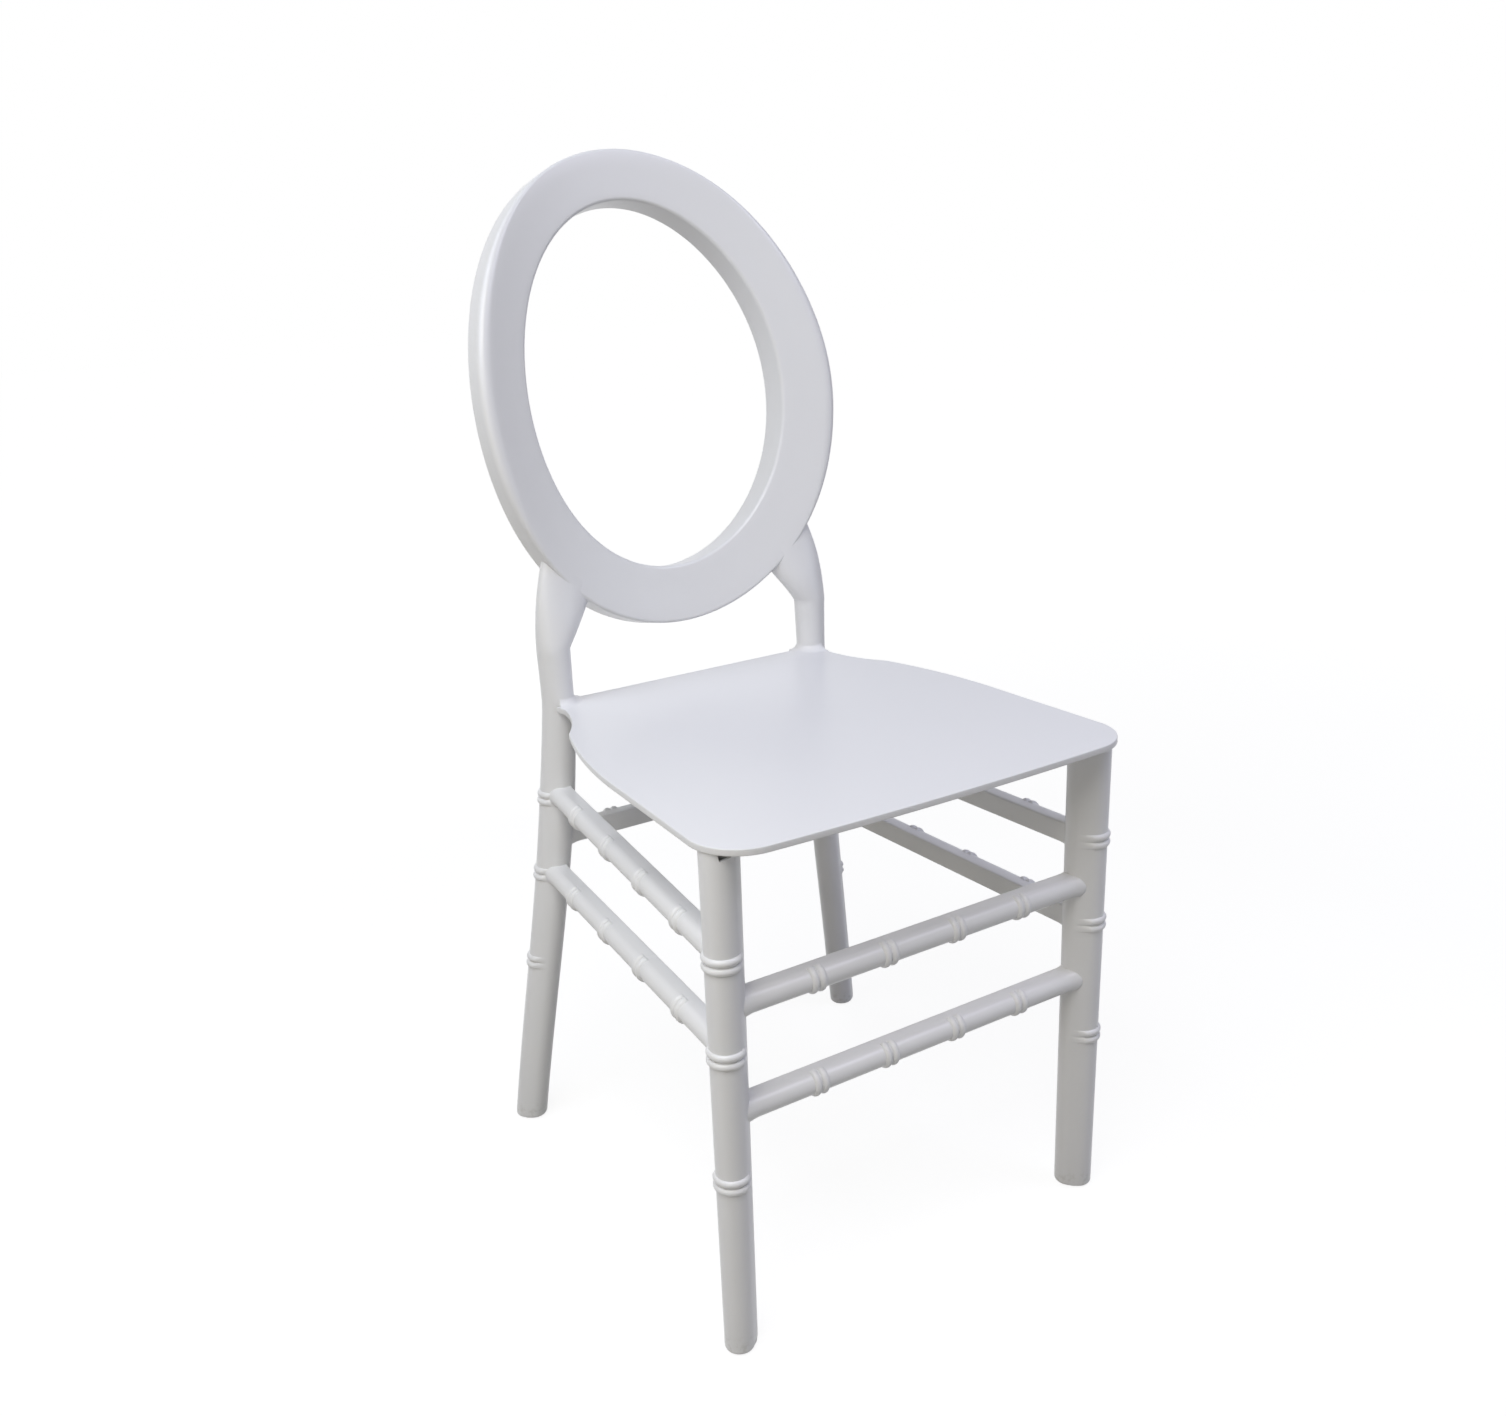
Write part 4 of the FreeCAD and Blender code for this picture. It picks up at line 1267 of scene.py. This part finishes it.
@dataclass
class SeatPanel:
    """Thin plate with rounded front corners and a cove at each post, ribbed underneath."""

    top: float = 440.0
    edge: float = 5.5
    edge_round: float = 2.0
    edge_steps: int = 5
    crease: float = 60.0
    back_y: float = 138.5
    corner_start: Span = (155.3, -253.5)
    corner_end: Span = (195.3, -209.9)
    corner_radius: float = 42.0
    corner_steps: int = 20
    front_radius: float = 3282.0
    front_steps: int = 12
    side: Span = (191.2, -95.0)
    horn: Span = (168.0, 48.0)
    side_radius: float = 480.0
    side_steps: int = 20
    waist: Span = (144.0, 110.0)
    waist_radius: float = 130.0
    waist_steps: int = 14
    post: Span = (138.6, 136.2)
    bite: float = 16.0
    bite_turn: float = -60.0
    bite_steps: int = 20
    cove_inner: float = 12.5
    cove_radius: float = 8.5
    cove_steps: int = 8
    cove_middle: float = 225.0
    cove_sweep: float = 124.0
    cove_rows: int = 24
    cove_lap: float = 1.8
    cove_sink: float = 2.5
    lap: float = 1.5
    rib_depth: float = 12.0
    rib_width: float = 6.0
    rib_side_x: float = 143.0
    rib_front_y: float = -180.0
    rib_middle_y: float = -40.0
    rib_rear_y: float = 112.0
    block_depth: float = 22.0
    block_round: float = 0.8
    block_steps: int = 2
    block_x: Span = (104.0, 121.0)
    block_y: Span = (116.0, 134.0)
    plug: Span = (175.7, -218.3)
    plug_radius: float = 9.0
    plug_taper: float = 0.6
    plug_depth: float = 30.0
    plug_segments: int = 40

    def centre(self, start: Vector, end: Vector, radius: float) -> Vector:
        """Centre of an arc that runs anticlockwise between two points.

        Args:
            start: First point.
            end: Last point.
            radius: Radius of the arc.

        Returns:
            The centre.
        """
        chord = end - start
        rise = math.sqrt(radius**2 - (chord.length / 2.0) ** 2)
        return (start + end) / 2.0 + Vector((-chord.y, chord.x)).normalized() * rise

    def sweep(
        self, mould: Mould, vert: bmesh.types.BMVert, centre: Vector, end: Vector, steps: int
    ) -> bmesh.types.BMVert:
        """Run the outline on along an arc.

        Args:
            mould: Mould that holds the outline.
            vert: The outline's last point.
            centre: Centre of the arc in plan.
            end: Point in plan at which the arc ends.
            steps: Steps along it.

        Returns:
            The outline's new last point.
        """
        made = bmesh.ops.spin(
            mould.bm,
            geom=[vert],
            cent=(centre.x, centre.y, self.top),
            axis=(0.0, 0.0, 1.0),
            angle=self.turn_between(centre, vert.co.to_2d(), end),
            steps=steps,
        )
        return next(item for item in made["geom_last"] if isinstance(item, bmesh.types.BMVert))

    def turn_between(self, centre: Vector, start: Vector, end: Vector) -> float:
        """Angle from one point to another round a centre.

        Args:
            centre: Centre in plan.
            start: First point in plan.
            end: Last point in plan.

        Returns:
            The angle, from minus half a turn to half a turn.
        """
        first = start - centre
        last = end - centre
        return math.atan2(first.x * last.y - first.y * last.x, first.dot(last))

    def outline(self, mould: Mould) -> None:
        """Draw the plate's right half, mirror it and close it with a face.

        Args:
            mould: Mould to draw it in.
        """
        start, end = Vector(self.corner_start), Vector(self.corner_end)
        side, horn, waist = Vector(self.side), Vector(self.horn), Vector(self.waist)
        front_centre = self.centre(Vector((-start.x, start.y)), start, self.front_radius)
        front = Vector((0.0, front_centre.y - self.front_radius))
        vert = mould.bm.verts.new((front.x, front.y, self.top))
        vert = self.sweep(mould, vert, front_centre, start, self.front_steps)
        corner_centre = self.centre(start, end, self.corner_radius)
        vert = self.sweep(mould, vert, corner_centre, end, self.corner_steps)
        vert = self.run_to(mould, vert, side)
        vert = self.sweep(mould, vert, self.centre(side, horn, self.side_radius), horn, self.side_steps)
        waist_centre = self.centre(waist, horn, self.waist_radius)
        vert = self.sweep(mould, vert, waist_centre, waist, self.waist_steps)
        post = Vector(self.post)
        turn = math.radians(self.bite_turn)
        vert = self.run_to(mould, vert, post + Vector((math.cos(turn), math.sin(turn))) * self.bite)
        back = Vector((post.x - math.sqrt(self.bite**2 - (self.back_y - post.y) ** 2), self.back_y))
        vert = self.sweep(mould, vert, post, back, self.bite_steps)
        self.run_to(mould, vert, Vector((0.0, self.back_y)))
        geom = mould.bm.verts[:] + mould.bm.edges[:]
        bmesh.ops.mirror(mould.bm, geom=geom, matrix=Matrix.Identity(4), merge_dist=WELD, axis="X")
        bmesh.ops.remove_doubles(mould.bm, verts=mould.bm.verts[:], dist=WELD)
        mould.cap(mould.bm.edges[:])

    def run_to(self, mould: Mould, vert: bmesh.types.BMVert, spot: Vector) -> bmesh.types.BMVert:
        """Run the outline on along a straight line.

        Args:
            mould: Mould that holds the outline.
            vert: The outline's last point.
            spot: Point in plan at which the line ends.

        Returns:
            The outline's new last point.
        """
        following = mould.bm.verts.new((spot.x, spot.y, self.top))
        mould.bm.edges.new((vert, following))
        return following

    def plate(self, mould: Mould) -> None:
        """Give the outline its thickness and its soft edge.

        Args:
            mould: Mould that holds the outline.
        """
        made = bmesh.ops.extrude_face_region(mould.bm, geom=mould.bm.faces[:])["geom"]
        verts = [item for item in made if isinstance(item, bmesh.types.BMVert)]
        bmesh.ops.translate(mould.bm, vec=(0.0, 0.0, -self.edge), verts=verts)
        bmesh.ops.recalc_face_normals(mould.bm, faces=mould.bm.faces[:])
        mould.soften(mould.creases(self.crease), self.edge_round, self.edge_steps)

    def cove(self, mould: Mould, side: Side) -> None:
        """Add the hollow fillet that runs from the seat up the inner front of a post.

        Args:
            mould: Mould that holds the plate.
            side: Side of the post.
        """
        base = Vector((self.post[0] * side.value, self.post[1], self.top))
        middle = math.radians(self.cove_middle if side is Side.RIGHT else 180.0 - self.cove_middle)
        first = middle - math.radians(self.cove_sweep) / 2.0
        heading = Vector((math.cos(first), math.sin(first), 0.0))
        outer = self.bite - self.cove_lap + self.cove_radius
        profile = [(self.cove_inner, -self.cove_sink), (outer, -self.cove_sink)]
        for step in range(self.cove_steps + 1):
            turn = math.radians(90.0 * step / self.cove_steps)
            rise = self.cove_radius * (1.0 - math.cos(turn))
            profile.append((outer - self.cove_radius * math.sin(turn), rise))
        profile.append((self.cove_inner, self.cove_radius))
        spots = [base + heading * radius + Vector((0.0, 0.0, z)) for radius, z in profile]
        verts = [mould.bm.verts.new(spot) for spot in spots]
        face = mould.bm.faces.new(verts)
        bmesh.ops.spin(
            mould.bm,
            geom=[face] + list(face.edges) + verts,
            cent=base,
            axis=(0.0, 0.0, 1.0),
            angle=math.radians(self.cove_sweep),
            steps=self.cove_rows,
        )

    def block(self, mould: Mould, low: tuple[float, float], high: tuple[float, float], depth: float) -> None:
        """Add one rib or block under the plate.

        Args:
            mould: Mould that holds the plate.
            low: Lowest corner in plan.
            high: Highest corner in plan.
            depth: Distance it hangs below the plate.
        """
        size = Vector((high[0] - low[0], high[1] - low[1], depth + self.lap))
        under = self.top - self.edge + self.lap - size.z / 2.0
        spot = Vector(((low[0] + high[0]) / 2.0, (low[1] + high[1]) / 2.0, under))
        matrix = Matrix.Translation(spot) @ Matrix.Diagonal(size).to_4x4()
        verts = bmesh.ops.create_cube(mould.bm, size=1.0, matrix=matrix)["verts"]
        edges = list({edge for vert in verts for edge in vert.link_edges})
        mould.soften(edges, self.block_round, self.block_steps)

    def underside(self, mould: Mould) -> None:
        """Add the ribs, screw blocks and plugs under the plate.

        Args:
            mould: Mould that holds the plate.
        """
        wide, width = self.rib_side_x, self.rib_width
        for y in (self.rib_front_y, self.rib_middle_y):
            self.block(mould, (-wide, y), (wide, y + width), self.rib_depth)
        outer = self.block_x[1]
        self.block(mould, (-outer, self.rib_rear_y), (outer, self.rib_rear_y + width), self.rib_depth)
        self.block(mould, (-width / 2.0, self.rib_front_y), (width / 2.0, self.rib_rear_y), self.rib_depth)
        for x in (-wide, wide - width):
            self.block(mould, (x, self.rib_front_y), (x + width, self.rib_middle_y), self.rib_depth)
        for near, far in (self.block_x, (-self.block_x[1], -self.block_x[0])):
            self.block(mould, (near, self.block_y[0]), (far, self.block_y[1]), self.block_depth)
        for side in Side:
            height = self.plug_depth + self.lap
            under = self.top - self.edge + self.lap - height / 2.0
            spot = (self.plug[0] * side.value, self.plug[1], under)
            bmesh.ops.create_cone(
                mould.bm,
                cap_ends=True,
                segments=self.plug_segments,
                radius1=self.plug_radius - self.plug_taper,
                radius2=self.plug_radius,
                depth=height,
                matrix=Matrix.Translation(spot),
            )

    def build(self, material: bpy.types.Material) -> None:
        """Make the seat.

        Args:
            material: Its resin.
        """
        mould = Mould()
        self.outline(mould)
        self.plate(mould)
        for side in Side:
            self.cove(mould, side)
        self.underside(mould)
        mould.release("seat_plate", material, ["seat_panel"])


@dataclass
class Stretchers:
    """The seven bars that tie the legs together."""

    front_heights: dict[Level, float] = field(
        default_factory=lambda: {Level.UPPER: 303.9, Level.LOWER: 214.2}
    )
    side_heights: dict[Level, tuple[float, float]] = field(
        default_factory=lambda: {Level.UPPER: (350.7, 345.1), Level.LOWER: (271.2, 268.3)}
    )
    rear_height: float = 308.2
    front_pitch: float = 67.0
    side_pitch: float = 75.0
    rear_pitch: float = 60.0
    front_leg: FrontLeg = field(default_factory=lambda: FrontLeg(Side.RIGHT))
    rear_leg: RearLeg = field(default_factory=lambda: RearLeg(Side.RIGHT))

    def joint(self, leg: Leg, side: Side, z: float) -> Vector:
        """Point on a leg's axis at a height."""
        x, y = leg.axis(z)
        return Vector((x * side.value, y, z))

    def bars(self) -> list[Stretcher]:
        """Set out the bars between the legs.

        Returns:
            All the bars with their ends.
        """
        bars = []
        for level, z in self.front_heights.items():
            ends = [self.joint(self.front_leg, side, z) for side in (Side.RIGHT, Side.LEFT)]
            name = f"front_stretcher_{level.value}"
            bars.append(Stretcher(name, *ends, Vector((0, -1, 0)), self.front_pitch))
        for level, (rear_z, front_z) in self.side_heights.items():
            for side in Side:
                ends = [self.joint(self.rear_leg, side, rear_z), self.joint(self.front_leg, side, front_z)]
                name = f"side_stretcher_{side.word}_{level.value}"
                bars.append(Stretcher(name, *ends, Vector((side.value, 0, 0)), self.side_pitch))
        ends = [self.joint(self.rear_leg, side, self.rear_height) for side in Side]
        bars.append(Stretcher("rear_stretcher", *ends, Vector((0, 1, 0)), self.rear_pitch))
        return bars

    def build(self, material: bpy.types.Material) -> None:
        """Make all the bars.

        Args:
            material: Their resin.
        """
        for bar in self.bars():
            bar.build(material)


@dataclass(frozen=True)
class PhotoCamera:
    """Camera that stands where the photograph was taken, above the hoop's middle and to the front left."""

    spot: Triple = (-0.6039382, -0.9977821, 0.8260539)
    right: Triple = (0.85176082, -0.52192856, -0.04576116)
    up: Triple = (0.20134731, 0.24544707, 0.94826947)
    back: Triple = (-0.48369698, -0.81691267, 0.31415111)
    sensor: float = 36.0
    focal_pixels: float = 1393.833
    photo_width: float = 1506.0

    def place(self) -> None:
        """Make the camera and hand it to the scene."""
        data = bpy.data.cameras.new("photo_camera")
        data.sensor_fit = "HORIZONTAL"
        data.sensor_width = self.sensor
        data.lens = self.sensor * self.focal_pixels / self.photo_width
        camera = bpy.data.objects.new("photo_camera", data)
        bpy.context.scene.collection.objects.link(camera)
        turn = Matrix((self.right, self.up, self.back)).transposed().to_4x4()
        camera.matrix_world = Matrix.Translation(self.spot) @ turn
        bpy.context.scene.camera = camera


@dataclass(frozen=True)
class SoftBox:
    """Square lamp, which a gloss shows unless it isn't mirrored."""

    name: str
    spot: Triple
    aim: Triple
    size: float
    power: float
    colour: Triple
    mirrored: bool = True

    def place(self) -> None:
        """Hang the lamp."""
        data = bpy.data.lights.new(self.name, "AREA")
        data.shape = "SQUARE"
        data.size = self.size
        data.energy = self.power
        data.color = self.colour
        lamp = bpy.data.objects.new(self.name, data)
        lamp.visible_glossy = self.mirrored
        bpy.context.scene.collection.objects.link(lamp)
        heading = Vector(self.aim) - Vector(self.spot)
        turn = heading.to_track_quat("-Z", "Y").to_matrix().to_4x4()
        lamp.matrix_world = Matrix.Translation(self.spot) @ turn


@dataclass(frozen=True)
class Studio:
    """White room: panels overhead, lamps round the front, a pair behind that no gloss mirrors, and a floor.

    The floor and the world are seen as white, and the floor keeps the chair's shadow.
    """

    sky: float = 0.01
    white: Colour = (1.0, 1.0, 1.0, 1.0)
    floor_half: float = 14.0
    floor_bounce: Colour = (0.42, 0.41, 0.39, 1.0)
    floor_near: float = 0.90
    floor_shadow: Colour = (0.16, 0.16, 0.16, 1.0)
    near_radius: float = 0.9
    far_radius: float = 2.6
    lamps: tuple[SoftBox, ...] = (
        SoftBox("panel_front_left", (-0.95, -0.95, 1.95), (-0.95, -0.95, 0), 0.95, 19.4, (1.0, 0.98, 0.92)),
        SoftBox("panel_left", (-0.95, 0.0, 1.95), (-0.95, 0.0, 0.0), 0.95, 9.8, (0.80, 0.88, 1.0)),
        SoftBox("panel_front_right", (0.95, -0.95, 1.95), (0.95, -0.95, 0.0), 0.95, 13.4, (0.80, 0.79, 1.0)),
        SoftBox("panel_right", (0.95, 0.0, 1.95), (0.95, 0.0, 0.0), 0.95, 2.0, (0.70, 0.76, 1.0)),
        SoftBox("side_left", (-1.9, -0.2, 0.9), (0.0, 0.0, 0.45), 1.2, 3.4, (1.0, 0.87, 0.55)),
        SoftBox("high_left", (-1.9, -0.4, 1.8), (0.0, 0.0, 0.45), 0.9, 8.8, (0.75, 0.79, 1.0)),
        SoftBox("side_front_left", (-1.5, -1.4, 0.9), (0.0, 0.0, 0.45), 1.0, 3.4, (1.0, 0.96, 0.80)),
        SoftBox("side_right", (1.5, -1.5, 0.9), (0.0, 0.0, 0.45), 1.0, 3.6, (0.81, 0.90, 1.0)),
        SoftBox("rear_left", (-0.5, 2.1, 0.75), (0.0, 0.0, 0.55), 1.0, 6.5, (1.0, 1.0, 1.0), False),
        SoftBox("rear_right", (0.5, 2.1, 0.75), (0.0, 0.0, 0.55), 1.0, 6.5, (1.0, 1.0, 1.0), False),
    )

    def world(self) -> None:
        """Give the room a dim sky, and show white behind the chair."""
        world = bpy.data.worlds.new("white_room")
        bpy.context.scene.world = world
        board = NodeBoard(world)
        sky = board.add("ShaderNodeBackground", Color=self.white, Strength=self.sky)
        shown = board.add("ShaderNodeBackground", Color=self.white, Strength=1.0)
        board.close(board.split(sky, shown))

    def floor_material(self) -> bpy.types.Material:
        """Build the nodes of a floor that gives a soft bounce, is seen as white, and keeps the shadow.

        Returns:
            The material.
        """
        board = NodeBoard(bpy.data.materials.new("floor_white"))
        place = board.add("ShaderNodeTexCoord").outputs["Object"]
        distance = board.add("ShaderNodeVectorMath", {"operation": "LENGTH"}, Vector=place).outputs["Value"]
        glow = board.spread(distance, self.near_radius, self.far_radius, self.floor_near, 1.0)
        bounce = board.add("ShaderNodeBsdfDiffuse", Color=self.floor_bounce)
        shadow = board.add("ShaderNodeBsdfDiffuse", Color=self.floor_shadow)
        bright = board.add("ShaderNodeEmission", Color=self.white, Strength=glow)
        shown = board.add("ShaderNodeAddShader")
        board.tree.links.new(shadow.outputs[0], shown.inputs[0])
        board.tree.links.new(bright.outputs[0], shown.inputs[1])
        board.close(board.split(bounce, shown))
        return board.owner

    def floor(self) -> None:
        """Lay the floor."""
        mesh = bpy.data.meshes.new("studio_floor")
        bm = bmesh.new()
        bmesh.ops.create_grid(bm, x_segments=1, y_segments=1, size=self.floor_half)
        bm.to_mesh(mesh)
        bm.free()
        mesh.materials.append(self.floor_material())
        floor = bpy.data.objects.new("studio_floor", mesh)
        bpy.context.scene.collection.objects.link(floor)

    def build(self) -> None:
        """Make the room."""
        bpy.context.scene.view_settings.view_transform = "Standard"
        self.world()
        self.floor()
        for lamp in self.lamps:
            lamp.place()


def dress(names: Iterable[str], material: bpy.types.Material) -> None:
    """Give a finish to solids that show as they are.

    Args:
        names: Names of the solids.
        material: Their finish.
    """
    for name in names:
        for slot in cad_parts[name].material_slots:
            slot.material = material
        LOG.info("%s: solid kept, %s", name, material.name)


def main() -> None:
    """Build the room, the chair's pieces and their finishes."""
    logging.basicConfig(level=logging.INFO, format="%(name)s: %(message)s")
    PhotoCamera().place()
    Studio().build()
    frame_resin = ResinFinish("frame_resin").material()
    hoop_resin = ResinFinish("hoop_resin", gloss_low=0.29, gloss_high=0.31).material()
    seat_resin = ResinFinish("seat_resin", gloss_low=0.28, scratch=0.02, ior=1.30).material()
    hoop = BackHoop()
    hoop.build(hoop_resin)
    SeatPanel().build(seat_resin)
    for side in Side:
        FrontLeg(side).build(frame_resin)
        RearLeg(side, hoop=hoop).build(frame_resin)
    Stretchers().build(frame_resin)
    glides = [f"foot_glide_{row.value}_{side.word}" for row in Row for side in Side]
    dress(glides, NylonFinish().material())
    dress(["hoop_screws", "front_seat_screws", "rear_seat_screws"], ZincFinish().material())


if __name__ == "__main__":
    main()
